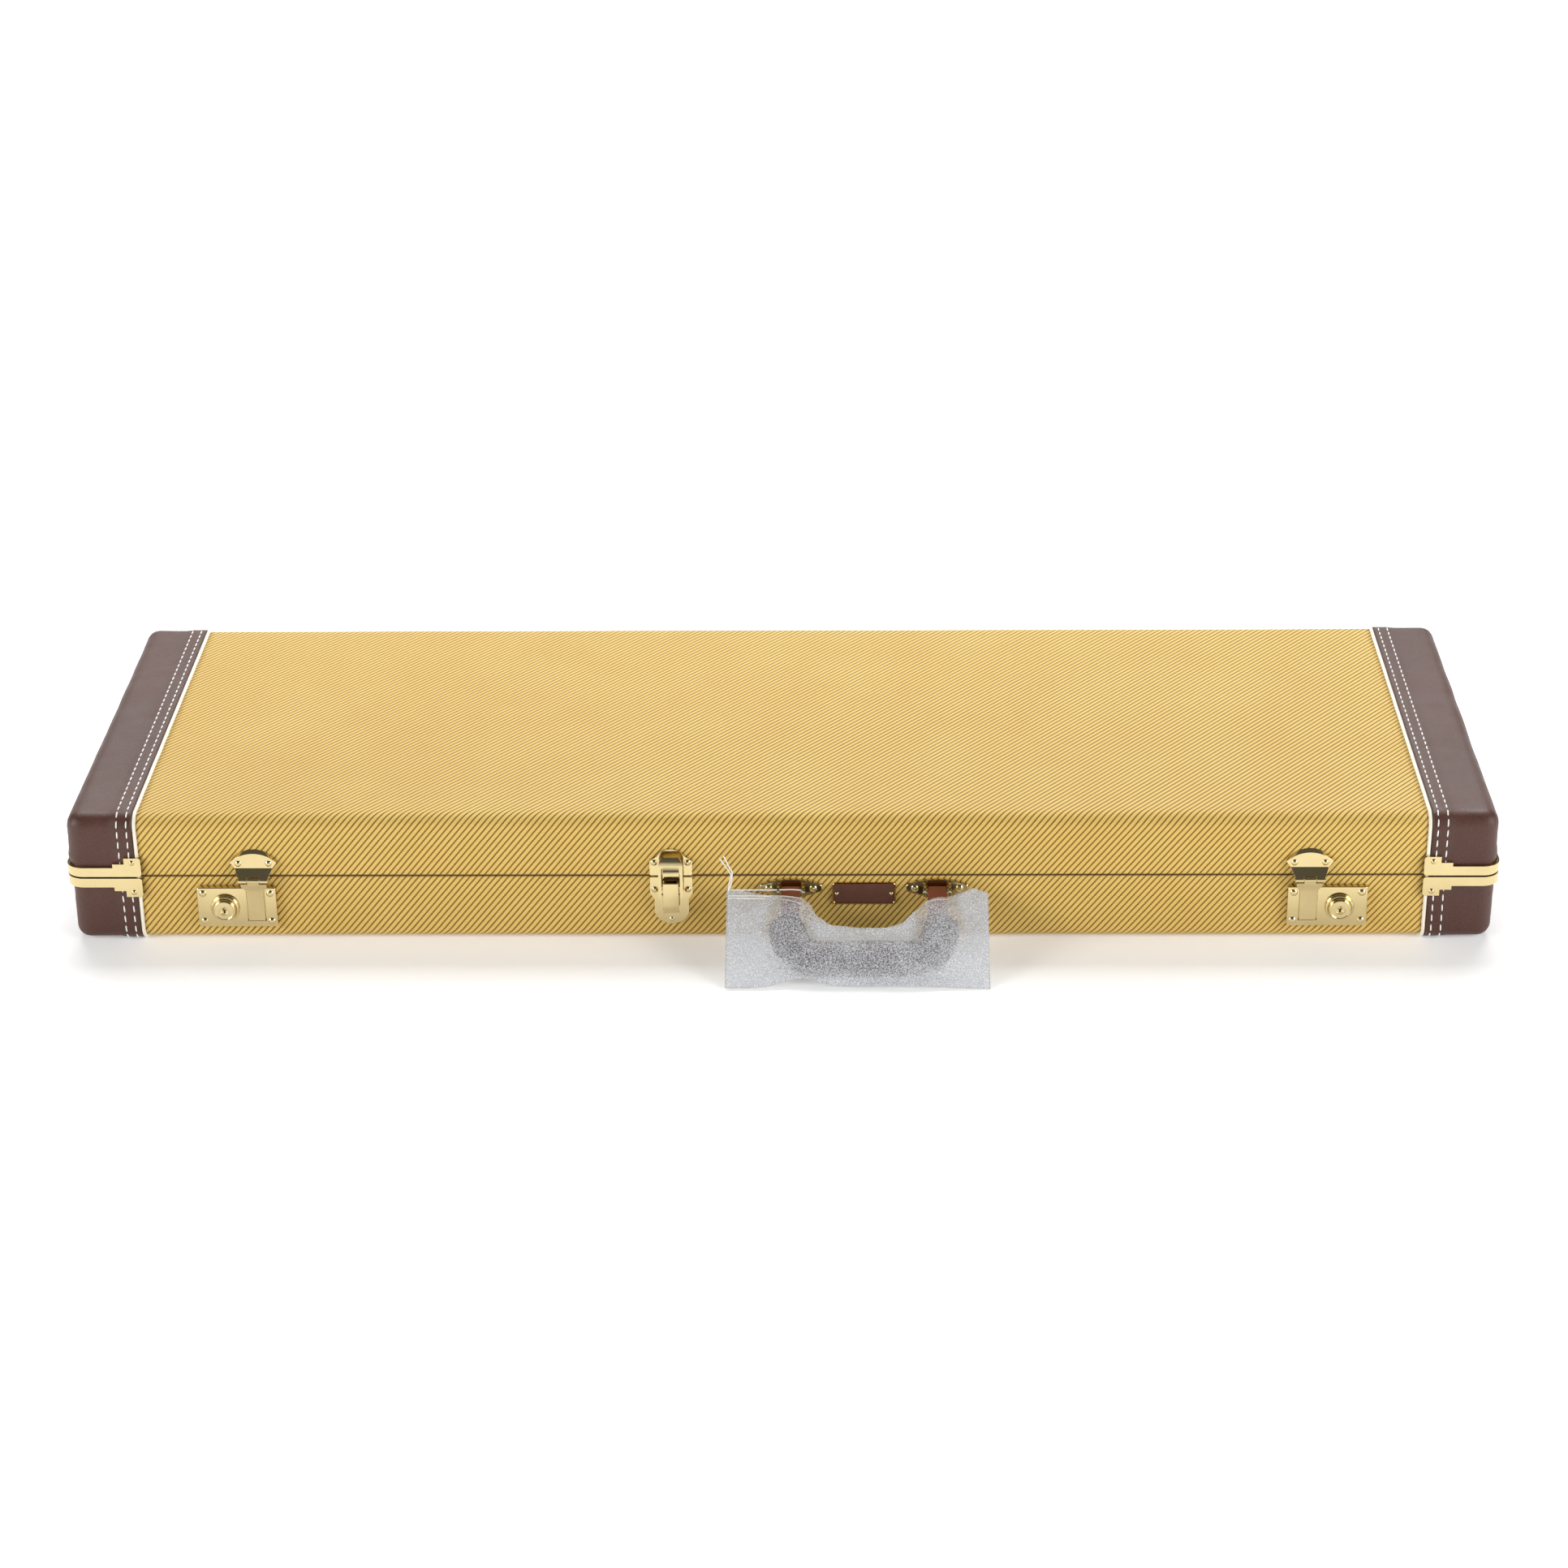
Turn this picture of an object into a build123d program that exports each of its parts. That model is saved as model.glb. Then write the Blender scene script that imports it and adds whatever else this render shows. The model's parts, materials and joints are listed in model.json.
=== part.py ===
from build123d import *
import os

# Guitar case lying on its back, latches towards -Y, lid hinged along +Y. Sizes in millimetres.
# The origin is on the floor, at the centre of the case's plan.

# ---- driving dimensions -------------------------------------------------------------------
shell_half_length = 535.1
shell_half_width = 178.0
shell_bottom = 2.4
shell_top = 104.0
seam_height = 56.0
seam_half_gap = 0.25
shell_edge_radius = 9.0
wall = 5.0

cloth = 1.0
leather = 2.4
piping_x = 484.7
piping_radius = 1.5
piping_lift = 0.8

lip_thickness = 3.0
lip_clearance = 0.5
lip_low = 46.0
lip_high = 61.0

front = -(shell_half_width + cloth)
back = -front
metal = 1.5
seat = 0.05

lid_low = seam_height + seam_half_gap
base_high = seam_height - seam_half_gap

# ---- inside of the case -------------------------------------------------------------------
floor_pad_thickness = 10.0
pad_top = 53.0
pad_half_width = 169.5
pad_half_length = 526.6
pad_corner = 5.0
lid_pad_low = 87.0
lid_lining_thickness = 2.4
lower_bout = (356.0, 164.0)
upper_bout = (190.0, 154.0)
waist_radius = 60.0
body_pad_left = 18.0
neck_half_width = 36.0
cradle_left = -45.0
box_left = -262.0
box_right = -50.0
box_wall = 4.0
box_top = 47.0
box_back = -42.0
box_lid_thickness = 5.0
box_lid_gap = 0.3
head_half_width = 78.0
head_pad_right = -268.0
head_end = -498.0

# ---- hardware -----------------------------------------------------------------------------
valance_thickness = 2.0
valance_half_gap = 0.75
valance_heights = (7.4, 10.5, 15.5)
valance_steps = (503.0, 494.2, 481.6)
valance_rivet_x = 488.4
valance_rivet_z = 12.4

rivet_radius = 2.1
rivet_height = 1.3

hinge_places = (-340.0, 0.0, 340.0)
hinge_axis_y = back + 4.2
hinge_half_width = 25.0
hinge_leaf_reach = 26.0
hinge_knuckle_radius = 3.2
hinge_pin_radius = 1.5
hinge_middle_half = 8.2
running_gap = 0.05

lock_centre_x = 411.0
lock_plate_size = (60.0, 33.0)
lock_plate_z = 31.2
lock_plate_depth = 4.2
lock_rivet_spacing = (51.0, 23.4)
lock_rivet_radius = 2.8
button_offset = 9.0
button_z = 31.2
cylinder_radius = 4.0
button_travel = 4.0
button_stem_radius = 3.0
hasp_offset = -14.5
hasp_axis_z = 56.0
hasp_axis_y = front - 8.5
hasp_pin_radius = 0.9
hasp_knuckle_radius = 2.2
hasp_knuckle_half = 4.5
hasp_head_half = 9.9
hasp_tongue_half = 6.4
hasp_neck_z = 44.4
hasp_head_z = 50.6
hasp_low_z = 20.2
hasp_thickness = 2.3
bracket_front = front - 3.0
bracket_tip = (17.6, 68.4)
bracket_foot = (14.4, 63.8)
bracket_arch_back = 78.3
bracket_arch_front = 75.9
skirt_half = 11.2

latch_x = -82.1
latch_pivot_z = 50.0
latch_pivot_y = front - 7.4
latch_pin_radius = 0.9
lever_half = 5.85
lever_front = front - 11.0
lever_flange = 1.1
ear_inner = 6.15
ear_outer = 6.7
loop_pivot_z = 43.4
loop_pivot_y = front - 8.4
loop_stud_radius = 0.9
loop_window_half = 7.0
loop_half_width = 9.2
loop_low_z = 41.0
loop_window_top = 67.3
loop_back = front - 7.2
hood_back = front - 4.9
loop_front = front - 9.6
hood_front = front - 9.9

handle_x = 63.0
handle_spacing = 110.0
handle_pivot_y = front - 9.0
handle_pivot_z = 46.5
handle_slope = 33.0
strap_width = 15.0
strap_thickness = 2.2
handle_pin_radius = 2.0
grip_start = -24.8
grip_reach = 57.0
grip_half_span = 57.0
grip_half_depth = 15.0
grip_half_thickness = 10.5
wrap_half_width = 98.0
wrap_reach = 81.0
wrap_skin = 1.2

badge_size = (48.0, 18.0)
badge_z = 41.0


# ---- helpers ------------------------------------------------------------------------------
def slab(x_low, x_high, y_low, y_high, z_low, z_high):
    size = Box(x_high - x_low, y_high - y_low, z_high - z_low)
    return Pos((x_low + x_high) / 2, (y_low + y_high) / 2, (z_low + z_high) / 2) * size


def case_block(grow, z_low, z_high, round_low):
    """The case's outline grown by an offset, with its upright edges and one long face rounded."""
    half_length = shell_half_length + grow
    half_width = shell_half_width + grow
    block = slab(-half_length, half_length, -half_width, half_width, z_low, z_high)
    face = block.faces().sort_by(Axis.Z)[0 if round_low else -1]
    return fillet(block.edges().filter_by(Axis.Z) + face.edges(), shell_edge_radius + grow)


def base_block(grow):
    return case_block(grow, shell_bottom - grow, base_high, True)


def lid_block(grow):
    return case_block(grow, lid_low, shell_top + grow, False)


def inner_block(shrink, z_low, z_high):
    """A block that fills the inside of the walls, less a clearance."""
    half_length = shell_half_length - wall - shrink
    half_width = shell_half_width - wall - shrink
    block = slab(-half_length, half_length, -half_width, half_width, z_low, z_high)
    return fillet(block.edges().filter_by(Axis.Z), 4.0)


def mirrored(shape):
    return mirror(shape, about=Plane.YZ)


def front_prism(outline, y_outer, y_inner):
    """Extrude a face drawn in X and Z from one depth to another, both measured along Y."""
    return Pos(0, y_inner, 0) * extrude(Plane.XZ * outline, y_inner - y_outer)


def side_prism(points, x_low, x_high):
    """Extrude an outline given as (y, z) corners along X."""
    face = Plane.YZ * make_face(Polyline(*points, close=True).edges())
    return Pos(x_low, 0, 0) * extrude(face, x_high - x_low)


def rod_x(x_low, x_high, y, z, radius):
    return Pos((x_low + x_high) / 2, y, z) * Rot(0, 90, 0) * Cylinder(radius, x_high - x_low)


def rod_y(x, y_low, y_high, z, radius):
    return Pos(x, (y_low + y_high) / 2, z) * Rot(90, 0, 0) * Cylinder(radius, y_high - y_low)


def dome(x, y, z, radius, height, outward):
    """A rivet head standing on a face whose normal is -Y (outward -1) or +Y (outward 1)."""
    cap_radius = (radius ** 2 + height ** 2) / (2 * height)
    rim = 0.2
    profile = Plane.XZ * make_face([
        Line((0, 0), (radius, 0)),
        Line((radius, 0), (radius, rim)),
        RadiusArc((radius, rim), (0, height + rim), -cap_radius),
        Line((0, height + rim), (0, 0)),
    ])
    return Pos(x, y, z) * Rot(-90 * outward, 0, 0) * revolve(profile, Axis.Z)


def group(shapes):
    return Compound(children=[solid for shape in shapes for solid in shape.solids()])


def save(name, shape):
    shape.label = name
    export_step(shape, f"parts/{name}.step")


# ---- case shell, covers and piping --------------------------------------------------------
def base_shell():
    tray = base_block(0) - inner_block(0, shell_bottom + wall, base_high + 1)
    lip = inner_block(0, lip_low, base_high) + inner_block(lip_clearance, base_high, lip_high)
    return tray + (lip - inner_block(lip_thickness, lip_low - 1, lip_high + 1))


def lid_shell():
    return lid_block(0) - inner_block(0, lid_low - 1, shell_top - wall)


def cover_span(x_low, x_high):
    return slab(x_low, x_high, -200, 200, -5, 115)


def tweed_cover(outer, core):
    half = piping_x - piping_radius
    return (outer - core) & cover_span(-half, half)


def end_cover(outer, core):
    return (outer - core) & cover_span(piping_x + piping_radius, 600)


def piping(base):
    """Welt that runs round the case's section between the tweed and the end cover."""
    y_line = shell_half_width + piping_lift
    z_far = shell_bottom - piping_lift if base else shell_top + piping_lift
    z_near = base_high if base else lid_low
    corners = [(piping_x, -y_line, z_near), (piping_x, -y_line, z_far),
               (piping_x, y_line, z_far), (piping_x, y_line, z_near)]
    path = FilletPolyline(*corners, radius=shell_edge_radius + piping_lift)
    cord = sweep(Plane(origin=path @ 0, z_dir=path % 0) * Circle(piping_radius), path=path)
    return cord - (base_block(0) if base else lid_block(0))


def valance(base):
    """Edge strip that wraps round the case's end, with a stepped tab on the front and the back."""
    face = seam_height - valance_half_gap if base else seam_height + valance_half_gap
    down = -1 if base else 1
    z_limits = sorted((face, face + down * valance_heights[2]))
    inner_grow = leather + seat
    outer_grow = inner_grow + valance_thickness
    rings = []
    for grow in (outer_grow, inner_grow):
        half_length = shell_half_length + grow
        half_width = shell_half_width + grow
        ring = slab(-half_length, half_length, -half_width, half_width, *z_limits)
        rings.append(fillet(ring.edges().filter_by(Axis.Z), shell_edge_radius + grow))
    strip = None
    right = 600.0
    for left, height in zip(valance_steps, valance_heights):
        low, high = sorted((face, face + down * height))
        piece = slab(left, right, -200, 200, low, high)
        strip = piece if strip is None else strip + piece
        right = left
    tab_edges = strip.edges().filter_by(Axis.Y).group_by(Axis.X)[0]
    strip = fillet(tab_edges, 2.2)
    return (rings[0] - rings[1]) & strip


def valance_rivets(base):
    down = -1 if base else 1
    z = seam_height + down * valance_rivet_z
    y = shell_half_width + leather + seat + valance_thickness
    heads = []
    for side in (-1, 1):
        for x in (-valance_rivet_x, valance_rivet_x):
            heads.append(dome(x, side * y, z, rivet_radius, rivet_height, side))
    return heads


# ---- padding ------------------------------------------------------------------------------
def floor_pad():
    low = shell_bottom + wall
    return inner_block(0.5, low, low + floor_pad_thickness)


pad_low = shell_bottom + wall + floor_pad_thickness


def body_pad(side):
    """Half of the padding round the guitar: a two-bout pocket for its body and a channel for its neck."""
    block = slab(body_pad_left, pad_half_length, -pad_half_width, pad_half_width, pad_low, pad_top)
    block = fillet(block.edges().filter_by(Axis.Z), pad_corner)
    depth = pad_top - pad_low + 2
    middle = (pad_top + pad_low) / 2
    bouts = [Pos(x, 0, middle) * Cylinder(radius, depth) for x, radius in (lower_bout, upper_bout)]
    pocket = bouts[0] + bouts[1]
    waist = [edge for edge in pocket.edges().filter_by(Axis.Z) if abs(edge.center().Y) > 100]
    pocket = fillet(waist, waist_radius)
    channel = slab(body_pad_left - 1, 120, -neck_half_width, neck_half_width, pad_low - 1, pad_top + 1)
    low, high = sorted((0, side * 200))
    half = slab(0, 600, low, high, pad_low - 1, pad_top + 1)
    return (block - pocket - channel) & half


def neck_cradle():
    block = slab(cradle_left, body_pad_left - 0.5, -pad_half_width, pad_half_width, pad_low, pad_top)
    notch = slab(cradle_left - 1, body_pad_left, -neck_half_width, neck_half_width, 36.0, pad_top + 1)
    return block - notch


def neck_side_pad():
    pad = slab(box_left, box_right, -box_back, pad_half_width, pad_low, pad_top)
    return fillet(pad.edges().group_by(Axis.Z)[-1], 4.0)


def accessory_box():
    box = slab(box_left, box_right, -pad_half_width, box_back, pad_low, box_top)
    room = slab(box_left + box_wall, box_right - box_wall, -pad_half_width + box_wall, box_back - box_wall,
                pad_low + 3, box_top + 1)
    return box - room


def accessory_lid():
    low = box_top + box_lid_gap
    lid = slab(box_left + 0.5, box_right - 0.5, -pad_half_width + 3, box_back - 0.3, low,
               low + box_lid_thickness)
    return fillet(lid.edges().group_by(Axis.Z)[-1], 1.5)


def accessory_tab():
    x = (box_left + box_right) / 2
    top = box_top + box_lid_gap + box_lid_thickness
    tab = slab(x - 9, x + 9, -pad_half_width + 8, -pad_half_width + 38, top, top + 1.4)
    return fillet(tab.edges().filter_by(Axis.Z), 6.0)


def head_pad(side):
    low, high = sorted((side * head_half_width, side * pad_half_width))
    pad = slab(head_end + 0.3, head_pad_right, low, high, pad_low, pad_top)
    return fillet(pad.edges().group_by(Axis.Z)[-1], 4.0)


def head_end_pad():
    pad = slab(-pad_half_length, head_end, -pad_half_width, pad_half_width, pad_low, pad_top)
    pad = fillet(pad.edges().filter_by(Axis.Z), pad_corner)
    return fillet(pad.edges().group_by(Axis.Z)[-1], 3.0)


def lid_side_lining():
    ring = inner_block(0.2, lip_high + 1, shell_top - wall)
    return ring - inner_block(0.2 + lid_lining_thickness, lip_high, shell_top)


def lid_top_pad():
    half_length = shell_half_length - wall - lid_lining_thickness - 0.6
    half_width = shell_half_width - wall - lid_lining_thickness - 0.6
    pad = slab(-half_length, half_length, -half_width, half_width, lid_pad_low, shell_top - wall)
    pad = fillet(pad.edges().filter_by(Axis.Z), pad_corner)
    return fillet(pad.edges().group_by(Axis.Z)[0], 4.0)


# ---- back hinges --------------------------------------------------------------------------
def hinge_leaf(x, base):
    """One leaf of a butt hinge with its knuckles; the base leaf has the two outer knuckles."""
    up = -1 if base else 1
    bore = hinge_pin_radius if base else hinge_pin_radius + running_gap
    far = seam_height + up * hinge_leaf_reach
    near = seam_height + up * (hinge_knuckle_radius + 0.4)
    low, high = sorted((far, near))
    leaf = slab(x - hinge_half_width, x + hinge_half_width, back + seat, back + seat + metal, low, high)
    corners = leaf.edges().filter_by(Axis.Y)
    leaf = fillet(corners.group_by(Axis.Z)[0 if base else -1], 4.0)
    middle = [(-hinge_middle_half, hinge_middle_half)]
    outer = [(-hinge_half_width, -hinge_middle_half - 0.4), (hinge_middle_half + 0.4, hinge_half_width)]
    for left, right in outer if base else middle:
        low, high = sorted((near, seam_height))
        leaf += slab(x + left, x + right, back + seat, back + seat + metal, low, high)
        leaf += rod_x(x + left, x + right, hinge_axis_y, seam_height, hinge_knuckle_radius)
    return leaf - rod_x(x - 40, x + 40, hinge_axis_y, seam_height, bore)


def hinge_pin(x):
    half = hinge_half_width
    pin = rod_x(x - half - 1, x + half + 1, hinge_axis_y, seam_height, hinge_pin_radius)
    for side in (-1, 1):
        low, high = sorted((side * half, side * (half + 1.2)))
        pin += rod_x(x + low, x + high, hinge_axis_y, seam_height, hinge_pin_radius + 0.8)
    return pin


def hinge_rivets(base):
    up = -1 if base else 1
    heads = []
    for x in hinge_places:
        for dx, dz in ((-17, 11), (17, 11), (0, 19)):
            heads.append(dome(x + dx, back + seat + metal, seam_height + up * dz, rivet_radius, rivet_height, 1))
    return heads


# ---- key locks (right one drawn, left one mirrored) ---------------------------------------
hasp_x = lock_centre_x + hasp_offset
button_x = lock_centre_x + button_offset


def hasp_outline(grow):
    """Flared head above a straight tongue, drawn in X and Z about the hasp's centre line."""
    head = hasp_head_half + grow
    tongue = hasp_tongue_half + grow
    low = hasp_low_z - grow
    top = hasp_axis_z - hasp_knuckle_radius - 0.5
    points = [(-head, top), (-head, hasp_head_z), (-tongue, hasp_neck_z), (-tongue, low),
              (tongue, low), (tongue, hasp_neck_z), (head, hasp_head_z), (head, top)]
    return Pos(hasp_x, 0) * make_face(Polyline(*points, close=True).edges())


def lock_plate():
    outer = front - lock_plate_depth
    plate = front_prism(Pos(lock_centre_x, lock_plate_z) * RectangleRounded(*lock_plate_size, 2.2),
                        outer, front - seat)
    plate = fillet(plate.faces().sort_by(Axis.Y)[0].edges(), 0.8)
    channel = front_prism(hasp_outline(0.7), outer - 1, outer + 1.9)
    stem = button_stem_radius + 0.4
    slot = slab(button_x - stem, button_x + stem + button_travel, outer - 1, front - 2.0,
                button_z - stem, button_z + stem)
    return plate - channel - slot


def lock_rivets():
    y = front - lock_plate_depth
    heads = []
    for dx in (-lock_rivet_spacing[0] / 2, lock_rivet_spacing[0] / 2):
        for dz in (-lock_rivet_spacing[1] / 2, lock_rivet_spacing[1] / 2):
            heads.append(dome(lock_centre_x + dx, y, lock_plate_z + dz, lock_rivet_radius, 1.3, -1))
    return heads


def lock_button():
    """Sliding push button: two rounded rings round a flat face, bored for the key cylinder."""
    y = front - lock_plate_depth - 0.1
    profile = Plane.XZ * make_face([
        Line((0, 0), (11.0, 0)),
        Line((11.0, 0), (11.0, 0.8)),
        ThreePointArc((11.0, 0.8), (10.6, 2.1), (9.4, 2.9)),
        Line((9.4, 2.9), (8.9, 2.4)),
        Line((8.9, 2.4), (8.7, 4.4)),
        ThreePointArc((8.7, 4.4), (8.3, 5.6), (7.3, 6.3)),
        Line((7.3, 6.3), (6.9, 5.9)),
        Line((6.9, 5.9), (0, 5.9)),
        Line((0, 5.9), (0, 0)),
    ])
    button = Pos(button_x, y, button_z) * Rot(90, 0, 0) * revolve(profile, Axis.Z)
    button += rod_y(button_x, y, front - 2.4, button_z, button_stem_radius)
    return button - rod_y(button_x, y - 8, y - 0.8, button_z, cylinder_radius)


def lock_cylinder():
    """Key plug with a dished face and a keyhole: a round hole over a short slot."""
    y = front - lock_plate_depth - 0.1
    plug = rod_y(button_x, y - 5.7, y - 0.9, button_z, cylinder_radius - running_gap)
    plug -= rod_y(button_x, y - 6, y - 5.0, button_z, 3.2)
    keyhole = slab(button_x - 0.7, button_x + 0.7, y - 6, y - 2, button_z - 2.6, button_z + 1.0)
    return plug - keyhole - rod_y(button_x, y - 6, y - 2, button_z + 0.8, 1.6)


def bracket_outline(arch_top):
    """Fan outline: an arch over two tips, narrowing below them."""
    tip_x, tip_z = bracket_tip
    foot_x, foot_z = bracket_foot
    return make_face([
        Line((-foot_x, foot_z), (-tip_x, tip_z)),
        ThreePointArc((-tip_x, tip_z), (0, arch_top), (tip_x, tip_z)),
        Line((tip_x, tip_z), (foot_x, foot_z)),
        Line((foot_x, foot_z), (-foot_x, foot_z)),
    ])


def hasp_bracket():
    """Fan plate on the lid with a bevelled arch; its skirt leans out to two knuckles at the seam."""
    back_face = Pos(0, front - seat, 0) * (Plane.XZ * bracket_outline(bracket_arch_back))
    front_face = Pos(0, bracket_front, 0) * (Plane.XZ * bracket_outline(bracket_arch_front))
    plate = loft([back_face, front_face], ruled=True)
    foot_x, foot_z = bracket_foot
    skirt = side_prism([(bracket_front, foot_z + 1), (bracket_front, foot_z), (hasp_axis_y - 1.1, 57.9),
                        (hasp_axis_y + 0.5, 56.2), (front - 4.0, 58.6), (front - seat, 60.6),
                        (front - seat, foot_z + 1)], -foot_x, foot_x)
    taper = make_face(Polyline((-foot_x, foot_z + 1), (foot_x, foot_z + 1), (foot_x, foot_z), (skirt_half, 58.0),
                               (skirt_half, 50), (-skirt_half, 50), (-skirt_half, 58.0), (-foot_x, foot_z),
                               close=True).edges())
    skirt = skirt & front_prism(taper, front - 20, front + 5)
    bracket = plate + skirt
    gap = hasp_knuckle_half + 0.3
    bracket -= slab(-gap, gap, front - 12, hasp_axis_y + 3.0, 50, hasp_axis_z + hasp_knuckle_radius + 0.4)
    for side in (-1, 1):
        low, high = sorted((side * gap, side * skirt_half))
        bracket += rod_x(low, high, hasp_axis_y, hasp_axis_z, hasp_knuckle_radius)
    return Pos(hasp_x, 0, 0) * (bracket - rod_x(-20, 20, hasp_axis_y, hasp_axis_z, hasp_pin_radius))


def hasp_rivets():
    return [dome(hasp_x + dx, bracket_front, 67.6, 2.5, 1.2, -1) for dx in (-11.5, 11.5)]


def hasp_pin():
    half = skirt_half + 0.5
    return rod_x(hasp_x - half, hasp_x + half, hasp_axis_y, hasp_axis_z, hasp_pin_radius)


def hasp():
    """Tongue that lies in the lock plate; its head leans out to a single knuckle."""
    inner = front - lock_plate_depth + 1.6
    outer = inner - hasp_thickness
    lean = 4.7
    top = hasp_axis_z - hasp_knuckle_radius - 0.5
    body = side_prism([(inner, hasp_low_z), (outer, hasp_low_z), (outer, hasp_neck_z), (outer - lean, top),
                       (inner - lean, top), (inner, hasp_neck_z)],
                      hasp_x - hasp_head_half, hasp_x + hasp_head_half)
    body = body & front_prism(hasp_outline(0), front - 20, front + 5)
    left = hasp_x - hasp_knuckle_half
    right = hasp_x + hasp_knuckle_half
    link = side_prism([(outer - lean, top - 0.8), (inner - lean, top - 0.8), (hasp_axis_y + 1.8, hasp_axis_z),
                       (hasp_axis_y - 1.8, hasp_axis_z)], left, right)
    knuckle = rod_x(left, right, hasp_axis_y, hasp_axis_z, hasp_knuckle_radius)
    bore = rod_x(left - 1, right + 1, hasp_axis_y, hasp_axis_z, hasp_pin_radius + running_gap)
    return body + link + knuckle - bore


# ---- centre draw latch --------------------------------------------------------------------
def latch_base():
    """Plate with a pressed U-shaped rim under the lever and two thin ears that carry its pin."""
    half = 16.0
    waist = 12.9
    foot = 25.0
    face = front - metal
    outline = make_face([
        Line((-half, 55.0), (half, 55.0)),
        Line((half, 55.0), (half, 41.4)),
        Line((half, 41.4), (waist, 36.4)),
        Line((waist, 36.4), (waist, foot)),
        ThreePointArc((waist, foot), (0, 15.6), (-waist, foot)),
        Line((-waist, foot), (-waist, 36.4)),
        Line((-waist, 36.4), (-half, 41.4)),
        Line((-half, 41.4), (-half, 55.0)),
    ])
    plate = front_prism(outline, face, front - seat)
    plate = fillet(plate.edges().filter_by(Axis.Y).group_by(Axis.Z)[-1], 1.0)
    rim_middle = Pos(0, 34.0)
    rim = front_prism(rim_middle * RectangleRounded(17.4, 19.0, 4.0), face - 1.2, face + 0.2)
    rim -= front_prism(rim_middle * RectangleRounded(13.6, 15.2, 2.4), face - 2, face + 1)
    plate += rim - slab(-10, 10, face - 2, face + 1, loop_low_z - 0.4, 50)
    for side in (-1, 1):
        low, high = sorted((side * ear_inner, side * ear_outer))
        ear = slab(low, high, latch_pivot_y - 2.0, face + 0.2, latch_pivot_z - 2.2, latch_pivot_z + 2.2)
        plate += fillet(ear.edges().filter_by(Axis.X).group_by(Axis.Y)[0], 1.8)
    plate -= rod_x(-10, 10, latch_pivot_y, latch_pivot_z, latch_pin_radius)
    return Pos(latch_x, 0, 0) * plate


def latch_rivets():
    heads = [dome(latch_x + dx, front - metal, 44.7, 2.5, 1.3, -1) for dx in (-12.4, 12.4)]
    heads.append(dome(latch_x, front - metal, 19.4, 1.9, 0.8, -1))
    return heads


def latch_pin():
    return rod_x(latch_x - ear_outer, latch_x + ear_outer, latch_pivot_y, latch_pivot_z, latch_pin_radius)


def latch_lever():
    """Stamped lever: a face plate, bent in at its foot, between two flanges that carry the pivots."""
    face = side_prism([(lever_front + 1.2, 54.2), (lever_front + 0.4, 54.2), (lever_front, 53.6),
                       (lever_front, 36.2), (lever_front + 2.2, 28.6), (lever_front + 3.6, 27.8),
                       (lever_front + 3.4, 29.2), (lever_front + 1.2, 36.6)], -lever_half, lever_half)
    lever = face
    for side in (-1, 1):
        low, high = sorted((side * (lever_half - lever_flange), side * lever_half))
        lever += side_prism([(lever_front + 0.6, 53.6), (lever_front + 0.6, 36.0), (lever_front + 2.2, 30.4),
                             (lever_front + 5.4, 37.0), (lever_front + 6.0, 51.8), (lever_front + 5.0, 53.0)],
                            low, high)
    lever -= rod_x(-9, 9, latch_pivot_y, latch_pivot_z, latch_pin_radius + running_gap)
    lever -= rod_x(-9, 9, loop_pivot_y, loop_pivot_z, loop_stud_radius + running_gap)
    return Pos(latch_x, 0, 0) * lever


def latch_loop():
    """Stamped yoke: a domed hood over two side rails whose studs turn in the lever's flanges."""
    arch_z = loop_window_top
    outline = make_face([
        Line((-loop_half_width, loop_low_z), (loop_half_width, loop_low_z)),
        Line((loop_half_width, loop_low_z), (loop_half_width, arch_z)),
        ThreePointArc((loop_half_width, arch_z), (0, arch_z + loop_half_width), (-loop_half_width, arch_z)),
        Line((-loop_half_width, arch_z), (-loop_half_width, loop_low_z)),
    ])
    top = arch_z + loop_half_width
    profile = Plane.YZ * make_face([
        Line((loop_back, 30), (loop_front, 30)),
        Line((loop_front, 30), (loop_front, 62.5)),
        Line((loop_front, 62.5), (hood_front, arch_z - 1)),
        ThreePointArc((hood_front, arch_z - 1), (hood_front + 1.5, arch_z + 5.0), (hood_back - 0.6, top)),
        Line((hood_back - 0.6, top), (hood_back, top)),
        Line((hood_back, top), (hood_back, arch_z - 1)),
        Line((hood_back, arch_z - 1), (loop_back, 62.5)),
        Line((loop_back, 62.5), (loop_back, 30)),
    ])
    yoke = front_prism(outline, hood_front - 1, loop_back) & (Pos(-15, 0, 0) * extrude(profile, 30))
    window = slab(-loop_window_half, loop_window_half, front - 15, front, 30, arch_z)
    yoke -= fillet(window.edges().filter_by(Axis.Y).group_by(Axis.Z)[-1], 2.0)
    for side in (-1, 1):
        low, high = sorted((side * (lever_half - lever_flange - 0.4), side * (loop_window_half + 0.5)))
        yoke += rod_x(low, high, loop_pivot_y, loop_pivot_z, loop_stud_radius)
    return Pos(latch_x, 0, 0) * yoke


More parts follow.
